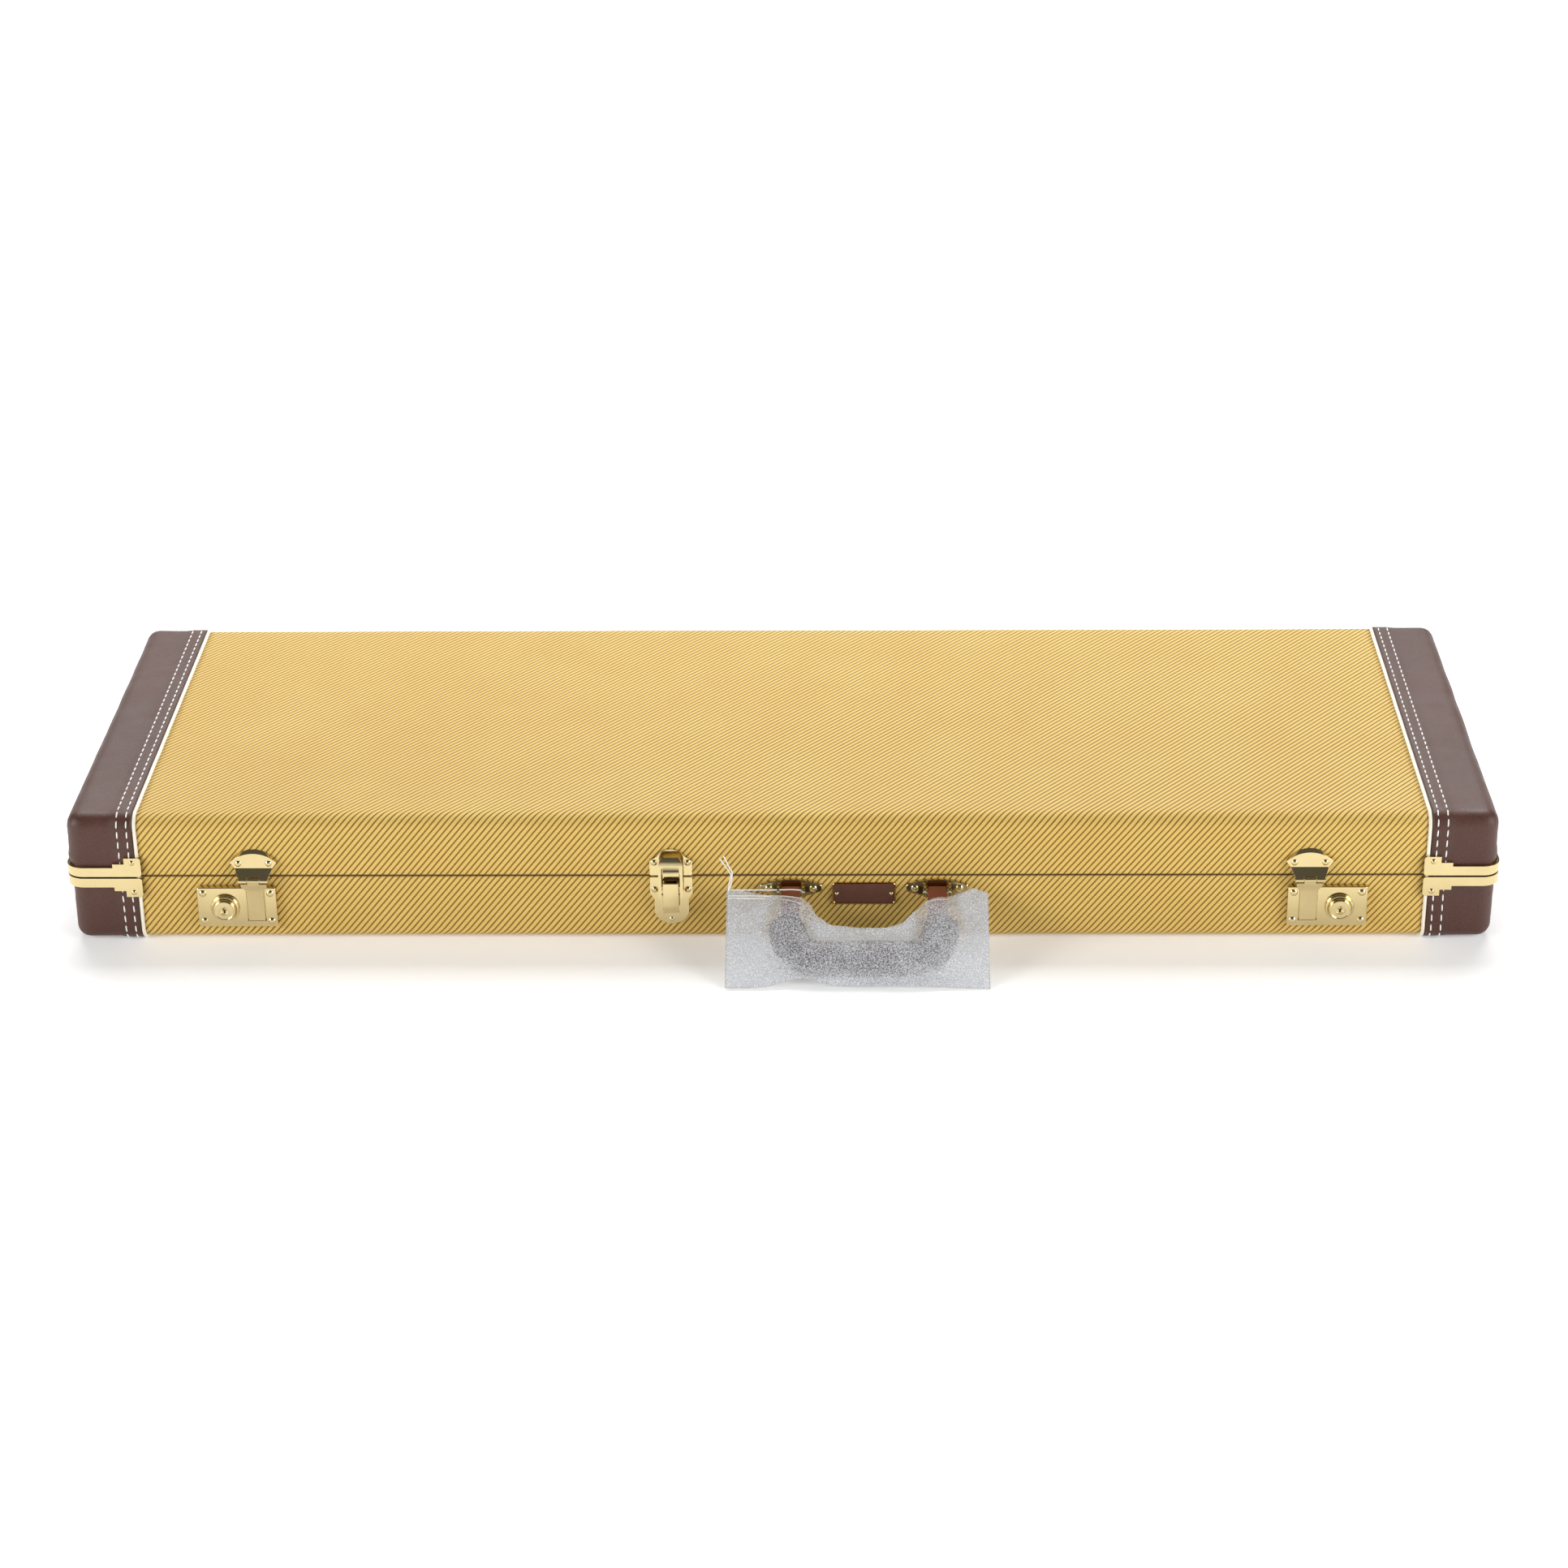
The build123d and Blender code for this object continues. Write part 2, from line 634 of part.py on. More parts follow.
def latch_catch():
    """Arched plate on the lid with a hooked, lipped tongue that shows through the yoke."""
    half = 16.0
    shoulder = 68.4
    low = lid_low + 0.4
    face = front - metal
    outline = make_face([
        Line((-half, low), (half, low)),
        Line((half, low), (half, shoulder)),
        Line((half, shoulder), (10.2, shoulder + 4.2)),
        ThreePointArc((10.2, shoulder + 4.2), (0, 78.4), (-10.2, shoulder + 4.2)),
        Line((-10.2, shoulder + 4.2), (-half, shoulder)),
        Line((-half, shoulder), (-half, low)),
    ])
    catch = front_prism(outline, face, front - seat)
    catch = fillet(catch.edges().filter_by(Axis.Y).group_by(Axis.Z)[0], 1.0)
    lip = low - 0.8
    slope = [(face + 0.2, 65.6), (face - 2.4, 61.0), (face - 2.9, 58.6), (face - 2.9, lip)]
    catch += side_prism(slope + [(face - 1.9, lip), (face - 1.9, 58.4), (face + 0.2, 62.4)], -6.1, 6.1)
    for side in (-1, 1):
        left, right = sorted((side * 5.0, side * 6.1))
        catch += side_prism(slope[:3] + [(face - 2.9, low), (face + 0.2, low)], left, right)
    return Pos(latch_x, 0, 0) * catch


def latch_catch_rivets():
    return [dome(latch_x + dx, front - metal, 67.3, 2.5, 1.3, -1) for dx in (-12.6, 12.6)]


# ---- handle and badge ---------------------------------------------------------------------
def handle_bracket(x):
    """Pointed oval plate with two cheeks that carry the strap's cross pin."""
    plate_outer = front - 2.6
    half_length = 23.5
    half_height = 7.4
    tip_height = 2.6
    outline = make_face([
        ThreePointArc((-half_length, -tip_height), (0, -half_height), (half_length, -tip_height)),
        Line((half_length, -tip_height), (half_length, tip_height)),
        ThreePointArc((half_length, tip_height), (0, half_height), (-half_length, tip_height)),
        Line((-half_length, tip_height), (-half_length, -tip_height)),
    ])
    bracket = front_prism(Pos(x, handle_pivot_z - 0.5) * outline, plate_outer, front - seat)
    bracket = fillet(bracket.edges().filter_by(Axis.Y), 2.0)
    bracket = chamfer(bracket.faces().sort_by(Axis.Y)[0].edges(), 0.5)
    for side in (-1, 1):
        low, high = sorted((side * 8.6, side * 10.2))
        cheek = slab(x + low, x + high, handle_pivot_y - 4.4, plate_outer + 0.3, handle_pivot_z - 5.2,
                     handle_pivot_z + 5.0)
        bracket += fillet(cheek.edges().filter_by(Axis.X).group_by(Axis.Y)[0], 3.6)
    return bracket - rod_x(x - 20, x + 20, handle_pivot_y, handle_pivot_z, handle_pin_radius)


def handle_pin(x):
    return rod_x(x - 10.8, x + 10.8, handle_pivot_y, handle_pivot_z, handle_pin_radius)


def handle_screw(x):
    """Slotted dome-head screw."""
    head = dome(x, front - 2.6, handle_pivot_z - 0.5, 3.0, 1.5, -1)
    slot = Pos(x, front - 4.1, handle_pivot_z - 0.5) * Rot(0, 35, 0) * Box(8, 1.2, 0.8)
    return head - slot


def lay_down(shape):
    """Carry a shape from the handle's own plane, where it reaches towards -Y, to its resting slope."""
    return Pos(0, handle_pivot_y, handle_pivot_z) * Rot(handle_slope, 0, 0) * shape


def handle_strap(side):
    """Leather strap that loops round the bracket's pin and runs into the grip."""
    x = handle_x + side * handle_spacing / 2
    half = strap_width / 2
    bore = handle_pin_radius + running_gap
    loop = rod_x(x - half, x + half, 0, 0, bore + strap_thickness)
    tail = slab(x - half, x + half, -24.0, 0, -strap_thickness - 0.4, strap_thickness + 0.4)
    strap = loop + tail
    return lay_down(strap - rod_x(x - half - 1, x + half + 1, 0, 0, bore))


def handle_grip():
    corners = [(handle_x - handle_spacing / 2, grip_start, 0), (handle_x - grip_half_span, -grip_reach, 0),
               (handle_x + grip_half_span, -grip_reach, 0), (handle_x + handle_spacing / 2, grip_start, 0)]
    path = FilletPolyline(*corners, radius=24.0)
    section = Plane(origin=path @ 0, z_dir=path % 0, x_dir=(0, 0, 1)) * Ellipse(grip_half_thickness, grip_half_depth)
    return lay_down(sweep(section, path=path))


def wrap_outline(shrink):
    """Bag outline: straight outer edges, and a mouth that dips between the two straps."""
    side = wrap_half_width - shrink
    far = wrap_reach - shrink
    near = 9.0
    dip = 31.0 + shrink
    return Pos(handle_x - 5.0, 0) * make_face([
        Line((-side, -far), (side, -far)),
        Line((side, -far), (side - 2, -near)),
        Line((side - 2, -near), (46.0 + shrink, -near)),
        Line((46.0 + shrink, -near), (28.0, -dip)),
        Line((28.0, -dip), (-22.0, -dip)),
        Line((-22.0, -dip), (-36.0 - shrink, -near)),
        Line((-36.0 - shrink, -near), (-side + 1, -near)),
        Line((-side + 1, -near), (-side, -far)),
    ])


def wrap_filling(shrink):
    """The bag's bulk: as thick as the grip near the straps, and thin along its far edge."""
    half = grip_half_thickness + 0.5 + wrap_skin - shrink
    far_half = 1.7 - shrink
    reach = wrap_reach - shrink
    points = [(0, half), (-62.0, half), (-71.0, 8.4 - shrink), (-reach, far_half),
              (-reach, -far_half), (-71.0, shrink - 8.4), (-62.0, -half), (0, -half)]
    bulk = side_prism(points, -100, 200)
    return bulk & (Pos(0, 0, -20) * extrude(wrap_outline(shrink), 40))


def handle_wrap():
    """Thin foam bag round the grip, open where the straps come out."""
    half = grip_half_thickness + 0.5
    outer = wrap_filling(0)
    inner = wrap_filling(wrap_skin)
    mouths = []
    for side in (-1, 1):
        x = handle_x + side * handle_spacing / 2
        mouths.append(slab(x - 17, x + 17, -14, 2, -half, half))
    return lay_down(outer - inner - mouths[0] - mouths[1])


def badge():
    """Plain name plate with a raised border and no lettering."""
    y = front - seat
    place = Pos(handle_x, badge_z)
    plate = front_prism(place * RectangleRounded(*badge_size, 3.0), y - 1.5, y)
    field = front_prism(place * RectangleRounded(badge_size[0] - 2.4, badge_size[1] - 2.4, 2.0), y - 2.0, y - 1.0)
    return plate - field


def badge_rivets():
    y = front - seat - 1.0
    return [dome(handle_x + dx, y, badge_z, 1.6, 1.2, -1) for dx in (-20.5, 20.5)]


# ---- write every part ---------------------------------------------------------------------
os.makedirs("parts", exist_ok=True)

save("base_shell", base_shell())
save("base_tweed_cover", tweed_cover(base_block(cloth), base_block(0)))
save("lid_shell", lid_shell())
save("lid_tweed_cover", tweed_cover(lid_block(cloth), lid_block(0)))

for part_name, is_base in (("base", True), ("lid", False)):
    block = base_block if is_base else lid_block
    right_parts = {
        "end_cover": end_cover(block(leather), block(0)),
        "piping": piping(is_base),
        "valance": valance(is_base),
    }
    for piece_name, right_part in right_parts.items():
        save(f"{part_name}_{piece_name}_right", right_part)
        save(f"{part_name}_{piece_name}_left", mirrored(right_part))
    save(f"{part_name}_trim_rivets", group(valance_rivets(is_base) + hinge_rivets(is_base)))
    save(f"{part_name}_hinge_leaves", group([hinge_leaf(x, is_base) for x in hinge_places]))

save("hinge_pins", group([hinge_pin(x) for x in hinge_places]))
save("floor_pad", floor_pad())
save("body_pad_front", body_pad(-1))
save("body_pad_back", body_pad(1))
save("neck_cradle", neck_cradle())
save("neck_side_pad", neck_side_pad())
save("head_pads", group([head_pad(-1), head_pad(1), head_end_pad()]))
save("accessory_box", accessory_box())
save("accessory_lid", accessory_lid())
save("accessory_pull_tab", accessory_tab())
save("lid_side_lining", lid_side_lining())
save("lid_top_pad", lid_top_pad())

for side_name, flip in (("right", False), ("left", True)):
    lock_parts = {
        "lock_plate": lock_plate(),
        "lock_button": lock_button(),
        "lock_cylinder": lock_cylinder(),
        "hasp": hasp(),
        "hasp_bracket": hasp_bracket(),
    }
    for piece_name, right_part in lock_parts.items():
        save(f"{piece_name}_{side_name}", mirrored(right_part) if flip else right_part)

for group_name, right_shapes, middle_shapes in (
        ("base_front_rivets", lock_rivets(), latch_rivets() + badge_rivets()),
        ("lid_front_rivets", hasp_rivets(), latch_catch_rivets()),
        ("hasp_pins", [hasp_pin()], [])):
    save(group_name, group(right_shapes + [mirrored(shape) for shape in right_shapes] + middle_shapes))

save("latch_base", latch_base())
save("latch_pin", latch_pin())
save("latch_lever", latch_lever())
save("latch_loop", latch_loop())
save("latch_catch", latch_catch())

bracket_places = (handle_x - handle_spacing / 2, handle_x + handle_spacing / 2)
save("handle_brackets", group([handle_bracket(x) for x in bracket_places]))
save("handle_pins", group([handle_pin(x) for x in bracket_places]))
save("handle_screws", group([handle_screw(x + dx) for x in bracket_places for dx in (-16.8, 16.8)]))
save("handle_strap_left", handle_strap(-1))
save("handle_strap_right", handle_strap(1))
save("handle_grip", handle_grip())
save("handle_wrap", handle_wrap())
save("badge_plate", badge())
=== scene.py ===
import json
import math

import bmesh
import bpy
from mathutils import Matrix, Vector, noise


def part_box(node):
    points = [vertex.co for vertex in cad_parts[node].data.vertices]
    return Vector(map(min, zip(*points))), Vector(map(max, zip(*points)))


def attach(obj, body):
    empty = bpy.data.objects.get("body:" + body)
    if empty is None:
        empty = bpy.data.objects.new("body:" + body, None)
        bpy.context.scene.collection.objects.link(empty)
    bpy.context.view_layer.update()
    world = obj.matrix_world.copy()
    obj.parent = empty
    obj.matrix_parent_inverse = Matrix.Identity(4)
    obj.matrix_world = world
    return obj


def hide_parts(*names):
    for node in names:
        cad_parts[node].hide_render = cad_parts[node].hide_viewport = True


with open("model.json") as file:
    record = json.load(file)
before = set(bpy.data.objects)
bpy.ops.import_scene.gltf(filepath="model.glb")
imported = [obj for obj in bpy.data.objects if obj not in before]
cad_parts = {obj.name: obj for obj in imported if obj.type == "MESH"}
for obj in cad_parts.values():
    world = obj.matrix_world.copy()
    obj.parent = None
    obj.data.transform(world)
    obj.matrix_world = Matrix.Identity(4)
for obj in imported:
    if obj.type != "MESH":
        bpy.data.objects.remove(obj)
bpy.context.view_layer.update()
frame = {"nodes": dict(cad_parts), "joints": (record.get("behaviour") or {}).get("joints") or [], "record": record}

# The case lies on its back: +X along it, -Y towards the latches, +Z up. All sizes are in metres.
MM = 0.001


# ---- the case's sizes, from the frame -------------------------------------------------------
CLOTH = 1.0 * MM
lid_core_low, lid_core_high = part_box("lid_shell")
HALF_WIDTH = lid_core_high[1]
HALF_LENGTH = lid_core_high[0]
CORE_TOP = lid_core_high[2]
CORE_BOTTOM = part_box("base_shell")[0][2]
LID_SEAM = lid_core_low[2]
BASE_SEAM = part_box("base_tweed_cover")[1][2]
SEAM = (LID_SEAM + BASE_SEAM) / 2
PIPING_LOW, PIPING_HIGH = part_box("lid_piping_right")
PIPING_X = (PIPING_LOW[0] + PIPING_HIGH[0]) / 2
PIPING_RADIUS = (PIPING_HIGH[0] - PIPING_LOW[0]) / 2
EDGE_RADIUS = 9.0 * MM


# ---- shader graphs ------------------------------------------------------------------------
class Graph:
    """A material's node tree, with short calls for the nodes that the finishes share."""

    def __init__(self, name, **fixed):
        self.material = bpy.data.materials.new(name)
        self.material.use_nodes = True
        self.tree = self.material.node_tree
        self.shader = self.tree.nodes["Principled BSDF"]
        for socket, value in fixed.items():
            self.shader.inputs[socket.replace("_", " ")].default_value = value

    def node(self, kind, inputs=(), **settings):
        made = self.tree.nodes.new(kind)
        for key, value in settings.items():
            setattr(made, key, value)
        for key, value in dict(inputs).items():
            self.feed(made.inputs[key], value)
        return made

    def feed(self, socket, value):
        if isinstance(value, bpy.types.NodeSocket):
            self.tree.links.new(value, socket)
        else:
            socket.default_value = value

    def shade(self, socket, value):
        self.feed(self.shader.inputs[socket], value)

    def math(self, operation, a, b=0.0, c=0.0):
        made = self.node("ShaderNodeMath", operation=operation)
        for socket, value in zip(made.inputs, (a, b, c)):
            self.feed(socket, value)
        return made.outputs[0]

    def add(self, a, b):
        return self.math("ADD", a, b)

    def sub(self, a, b):
        return self.math("SUBTRACT", a, b)

    def mul(self, a, b):
        return self.math("MULTIPLY", a, b)

    def step(self, value, low, high, out_low=0.0, out_high=1.0):
        """Smooth ramp of value from low to high."""
        ramp = self.node("ShaderNodeMapRange", interpolation_type="SMOOTHSTEP")
        for key, number in (("Value", value), ("From Min", low), ("From Max", high),
                            ("To Min", out_low), ("To Max", out_high)):
            self.feed(ramp.inputs[key], number)
        return ramp.outputs["Result"]

    def mix(self, factor, a, b):
        made = self.node("ShaderNodeMix", data_type="RGBA")
        self.feed(made.inputs["Factor"], factor)
        self.feed(made.inputs["A"], a)
        self.feed(made.inputs["B"], b)
        return made.outputs["Result"]

    def place(self):
        """Position on the object in metres, which rides with the piece."""
        return self.node("ShaderNodeTexCoord").outputs["Object"]

    def noise(self, scale, detail=3.0, rough=0.5, at=None):
        made = self.node("ShaderNodeTexNoise")
        made.inputs["Scale"].default_value = scale
        made.inputs["Detail"].default_value = detail
        made.inputs["Roughness"].default_value = rough
        self.feed(made.inputs["Vector"], at or self.place())
        return made.outputs["Fac"]

    def cells(self, scale, feature="F1"):
        made = self.node("ShaderNodeTexVoronoi", feature=feature)
        made.inputs["Scale"].default_value = scale
        self.feed(made.inputs["Vector"], self.place())
        return made.outputs["Distance"]

    def bump(self, height, distance, strength=1.0, under=None):
        made = self.node("ShaderNodeBump")
        made.inputs["Strength"].default_value = strength
        made.inputs["Distance"].default_value = distance
        self.feed(made.inputs["Height"], height)
        if under is not None:
            self.feed(made.inputs["Normal"], under)
        return made.outputs["Normal"]


def rgb(red, green, blue):
    """Shader colour from an 8-bit display colour."""
    linear = []
    for value in (red, green, blue):
        part = value / 255
        linear.append(part / 12.92 if part <= 0.04045 else ((part + 0.055) / 1.055) ** 2.4)
    return (*linear, 1.0)


# ---- finishes -----------------------------------------------------------------------------
def tweed_finish():
    """Lacquered twill: fine warp and weft with one brown yarn in four, stepping up to the right."""
    warp, weft = 1.21 * MM, 1.49 * MM
    g = Graph("tweed", Roughness=0.62, Specular_IOR_Level=0.22, Sheen_Weight=0.14, Sheen_Roughness=0.3)
    flat = g.node("ShaderNodeUVMap", uv_map="cloth").outputs["UV"]
    split = g.node("ShaderNodeSeparateXYZ", {"Vector": flat})
    wander = g.mul(g.sub(g.noise(6.0, 2.0), 0.5), 1.5 * MM)
    column = g.math("DIVIDE", g.add(split.outputs["X"], wander), warp)
    row = g.math("DIVIDE", g.add(split.outputs["Y"], wander), weft)
    row_inside = g.math("FRACT", row)
    whole_row = g.sub(row, row_inside)
    stepped = g.add(whole_row, g.mul(g.step(row_inside, 0.25, 0.75), 0.85))
    stripe = g.math("FRACT", g.mul(g.sub(column, stepped), 0.25))
    from_middle = g.math("ABSOLUTE", g.sub(stripe, 0.5))
    uneven = g.mul(g.sub(g.noise(900.0, 2.0), 0.5), 0.10)
    brown = g.step(g.add(from_middle, uneven), 0.21, 0.11)
    row_round = g.math("ABSOLUTE", g.sub(row_inside, 0.5))
    brown = g.mul(brown, g.step(row_round, 0.52, 0.28, 0.30, 1.0))
    column_round = g.math("ABSOLUTE", g.sub(g.math("FRACT", column), 0.5))
    yarn = g.mul(g.step(row_round, 0.5, 0.1), g.step(column_round, 0.5, 0.15, 0.55, 1.0))
    tone = g.noise(14.0, 3.0)
    fibre = g.noise(1500.0, 2.0)
    gold = g.mix(tone, rgb(219, 184, 92), rgb(236, 209, 122))
    # painted shade: the gold darkens between the yarns, where the weave dips
    gold = g.mix(g.mul(g.sub(1.0, yarn), 0.6), gold, rgb(190, 138, 52))
    gold = g.mix(g.mul(fibre, 0.25), gold, rgb(250, 226, 152))
    dark = g.mix(fibre, rgb(82, 50, 6), rgb(132, 90, 24))
    height = g.node("ShaderNodeSeparateXYZ", {"Vector": g.place()}).outputs["Z"]
    from_seam = g.math("ABSOLUTE", g.sub(height, SEAM))
    # painted shade: the cloth darkens towards near black-brown within about a millimetre of the seam between lid
    # and base, where the gap lies in shadow
    seam_shade = g.step(from_seam, 0.35 * MM, 1.3 * MM, 0.85, 0.0)
    g.shade("Base Color", g.mix(seam_shade, g.mix(brown, gold, dark), rgb(70, 42, 8)))
    relief = g.sub(g.mul(yarn, 0.5), g.mul(brown, 0.8))
    g.shade("Normal", g.bump(relief, 0.35 * MM, 0.75))
    g.shade("Roughness", g.step(brown, 0.0, 1.0, 0.55, 0.75))
    return g.material


def leatherette_finish():
    """Dark brown embossed leatherette: fine pebble grain, broad tone changes and a soft shine."""
    g = Graph("leatherette", Specular_IOR_Level=0.5, Coat_Weight=0.08, Coat_Roughness=0.5)
    broad = g.noise(9.0, 4.0)
    patch = g.noise(55.0, 3.0)
    pebble = g.cells(820.0, "SMOOTH_F1")
    crease = g.cells(380.0, "DISTANCE_TO_EDGE")
    shade = g.mix(broad, rgb(52, 23, 12), rgb(78, 39, 23))
    shade = g.mix(g.mul(patch, 0.4), shade, rgb(100, 58, 39))
    # painted shade: the grain's creases are darkened
    shade = g.mix(g.step(crease, 0.10, 0.0, 0.0, 0.5), shade, rgb(44, 27, 20))
    g.shade("Base Color", shade)
    g.shade("Roughness", g.step(g.add(g.mul(patch, 0.6), g.mul(pebble, 0.3)), 0.2, 0.8, 0.44, 0.64))
    soft = g.bump(g.noise(160.0, 3.0), 0.25 * MM, 0.35)
    g.shade("Normal", g.bump(g.sub(crease, g.mul(pebble, 0.8)), 0.16 * MM, 0.7, soft))
    return g.material


def handle_leather_finish(name, deep, light):
    """Smooth leather with fine pores and broad tone changes between two colours."""
    g = Graph(name, Specular_IOR_Level=0.5, Coat_Weight=0.25, Coat_Roughness=0.28)
    broad = g.noise(60.0, 4.0)
    pore = g.cells(1900.0)
    shade = g.mix(broad, deep, light)
    # painted shade: the pores are darkened
    g.shade("Base Color", g.mix(g.step(pore, 0.3, 0.05, 0.0, 0.4), shade, rgb(34, 18, 12)))
    g.shade("Roughness", g.step(broad, 0.3, 0.7, 0.34, 0.5))
    g.shade("Normal", g.bump(pore, 0.08 * MM, 0.5))
    return g.material


def piping_finish():
    """Off-white vinyl welt with a slight wrinkle along it."""
    g = Graph("piping", Roughness=0.42, Specular_IOR_Level=0.45, Subsurface_Weight=0.05)
    g.shader.inputs["Subsurface Scale"].default_value = 1.0 * MM
    g.shade("Base Color", g.mix(g.noise(40.0, 3.0), rgb(236, 228, 206), rgb(250, 246, 232)))
    g.shade("Normal", g.bump(g.noise(700.0, 2.0), 0.12 * MM, 0.35))
    return g.material


def thread_finish():
    """White waxed thread, twisted."""
    g = Graph("thread", Roughness=0.6, Sheen_Weight=0.2)
    twist = g.node("ShaderNodeTexWave", wave_type="BANDS", bands_direction="DIAGONAL")
    twist.inputs["Scale"].default_value = 420.0
    g.feed(twist.inputs["Vector"], g.place())
    # painted shade: the twist's grooves are darker than its ridges
    g.shade("Base Color", g.mix(twist.outputs["Fac"], rgb(226, 222, 212), rgb(254, 253, 250)))
    g.shade("Normal", g.bump(twist.outputs["Fac"], 0.15 * MM, 0.5))
    return g.material


def brass_finish(name, deep, light):
    """Pale brass plate: bright, faintly clouded, with fine rubbing marks."""
    g = Graph(name, Metallic=1.0, Coat_Weight=0.2, Coat_Roughness=0.15)
    cloud = g.noise(45.0, 4.0)
    speck = g.noise(900.0, 3.0)
    along = g.node("ShaderNodeMapping", {"Vector": g.place()})
    along.inputs["Scale"].default_value = (30.0, 30.0, 900.0)
    rub = g.noise(6.0, 3.0, 0.6, along.outputs["Vector"])
    shade = g.mix(cloud, deep, light)
    g.shade("Base Color", g.mix(g.step(speck, 0.66, 0.8, 0.0, 0.4), shade, rgb(176, 138, 70)))
    g.shade("Roughness", g.step(g.add(g.mul(cloud, 0.5), g.mul(rub, 0.5)), 0.35, 0.65, 0.08, 0.16))
    g.shade("Normal", g.bump(rub, 0.03 * MM, 0.25))
    return g.material


def plywood_finish():
    """Raw ply: long grain in pale brown, plies showing on the edges."""
    g = Graph("plywood", Roughness=0.7, Specular_IOR_Level=0.25)
    stretch = g.node("ShaderNodeMapping", {"Vector": g.place()})
    stretch.inputs["Scale"].default_value = (6.0, 90.0, 260.0)
    grain = g.noise(3.0, 5.0, 0.6, stretch.outputs["Vector"])
    g.shade("Base Color", g.mix(g.step(grain, 0.35, 0.65), rgb(148, 104, 62), rgb(196, 154, 104)))
    g.shade("Normal", g.bump(grain, 0.15 * MM, 0.4))
    return g.material


def plush_finish():
    """Deep red short-pile plush with brushed patches of painted sheen."""
    g = Graph("plush", Roughness=0.95, Specular_IOR_Level=0.1, Sheen_Weight=0.7, Sheen_Roughness=0.45,
              Sheen_Tint=rgb(236, 120, 110))
    tuft = g.noise(520.0, 4.0, 0.7)
    brushed_sheen = g.noise(16.0, 3.0)
    # painted sheen: lighter and darker patches stand for pile brushed different ways, catching the light
    # differently
    shade = g.mix(brushed_sheen, rgb(96, 10, 16), rgb(148, 24, 30))
    # painted shade: red-black between the tufts, deep in the pile
    g.shade("Base Color", g.mix(g.step(tuft, 0.35, 0.7), rgb(58, 5, 9), shade))
    curl = g.cells(300.0)
    g.shade("Normal", g.bump(g.add(tuft, g.mul(curl, 0.5)), 1.2 * MM, 0.7))
    return g.material


def foam_finish():
    """Thin translucent packing foam: speckled with painted white glints, clearer where it lies on the grip and
    milkier beyond.
    """
    g = Graph("foam", Roughness=0.5, Specular_IOR_Level=0.4, Sheen_Weight=0.15)
    cell = g.cells(640.0)
    fine = g.noise(900.0, 4.0, 0.75)
    broad = g.noise(35.0, 3.0)
    shade = g.mix(broad, rgb(220, 223, 229), rgb(238, 240, 243))
    # painted glints: pure white specks where the foam's cells would catch the light
    painted_glint = g.step(fine, 0.58, 0.68)
    g.shade("Base Color", g.mix(painted_glint, shade, rgb(255, 255, 255)))
    loose = g.node("ShaderNodeAttribute", attribute_name="loose").outputs["Fac"]
    cover = g.add(g.step(fine, 0.38, 0.66, 0.02, 0.60), g.mul(g.sub(broad, 0.5), 0.3))
    g.shade("Alpha", g.add(cover, g.mul(loose, 0.22)))
    g.shade("Normal", g.bump(g.add(g.mul(cell, 0.6), fine), 0.5 * MM, 0.8))
    return g.material


def badge_finish():
    """Satin dark brown enamel with faint orange peel."""
    g = Graph("badge_enamel", Roughness=0.35, Specular_IOR_Level=0.5, Coat_Weight=0.3, Coat_Roughness=0.2)
    g.shade("Base Color", g.mix(g.noise(180.0, 3.0), rgb(80, 44, 32), rgb(98, 60, 44)))
    g.shade("Normal", g.bump(g.noise(900.0, 2.0), 0.04 * MM, 0.3))
    return g.material


TWEED = tweed_finish()
LEATHERETTE = leatherette_finish()
STRAP_LEATHER = handle_leather_finish("strap_leather", rgb(98, 48, 26), rgb(140, 76, 44))
GRIP_LEATHER = handle_leather_finish("grip_leather", rgb(48, 30, 23), rgb(76, 49, 38))
PIPING = piping_finish()
THREAD = thread_finish()
BRASS = brass_finish("brass", rgb(205, 185, 134), rgb(219, 201, 151))
BADGE_GOLD = brass_finish("badge_gold", rgb(158, 118, 58), rgb(182, 140, 76))
PLYWOOD = plywood_finish()
PLUSH = plush_finish()
FOAM = foam_finish()
BADGE = badge_finish()


# ---- mesh helpers -------------------------------------------------------------------------
def new_piece(name, points, faces, material, body, replaced=(), smooth=True):
    mesh = bpy.data.meshes.new(name)
    mesh.from_pydata([tuple(p) for p in points], [], faces)
    mesh.validate()
    return finish_piece(name, mesh, material, body, replaced, smooth)


def finish_piece(name, mesh, material, body, replaced=(), smooth=True):
    mesh.materials.clear()
    mesh.materials.append(material)
    for polygon in mesh.polygons:
        polygon.use_smooth = smooth
    piece = bpy.data.objects.new(name, mesh)
    bpy.context.scene.collection.objects.link(piece)
    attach(piece, body)
    if replaced:
        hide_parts(*replaced)
    return piece


def smoothstep(value, low, high):
    t = min(max((value - low) / (high - low), 0.0), 1.0)
    return t * t * (3 - 2 * t)


def tube(path, radius, sides):
    """Points and faces of a closed round tube along a list of points; radius may be a function."""
    points, faces = [], []
    ahead = (path[1] - path[0]).normalized()
    side = ahead.orthogonal().normalized()
    for i, centre in enumerate(path):
        before = path[max(i - 1, 0)]
        after = path[min(i + 1, len(path) - 1)]
        ahead = (after - before).normalized()
        side = (side - ahead * side.dot(ahead)).normalized()
        up = ahead.cross(side)
        size = radius(i / (len(path) - 1)) if callable(radius) else radius
        for k in range(sides):
            turn = 2 * math.pi * k / sides
            points.append(centre + (side * math.cos(turn) + up * math.sin(turn)) * size)
    for i in range(len(path) - 1):
        for k in range(sides):
            a, b = i * sides + k, i * sides + (k + 1) % sides
            faces.append((a, b, b + sides, a + sides))
    faces.append(tuple(reversed(range(sides))))
    faces.append(tuple(range(len(points) - sides, len(points))))
    return points, faces


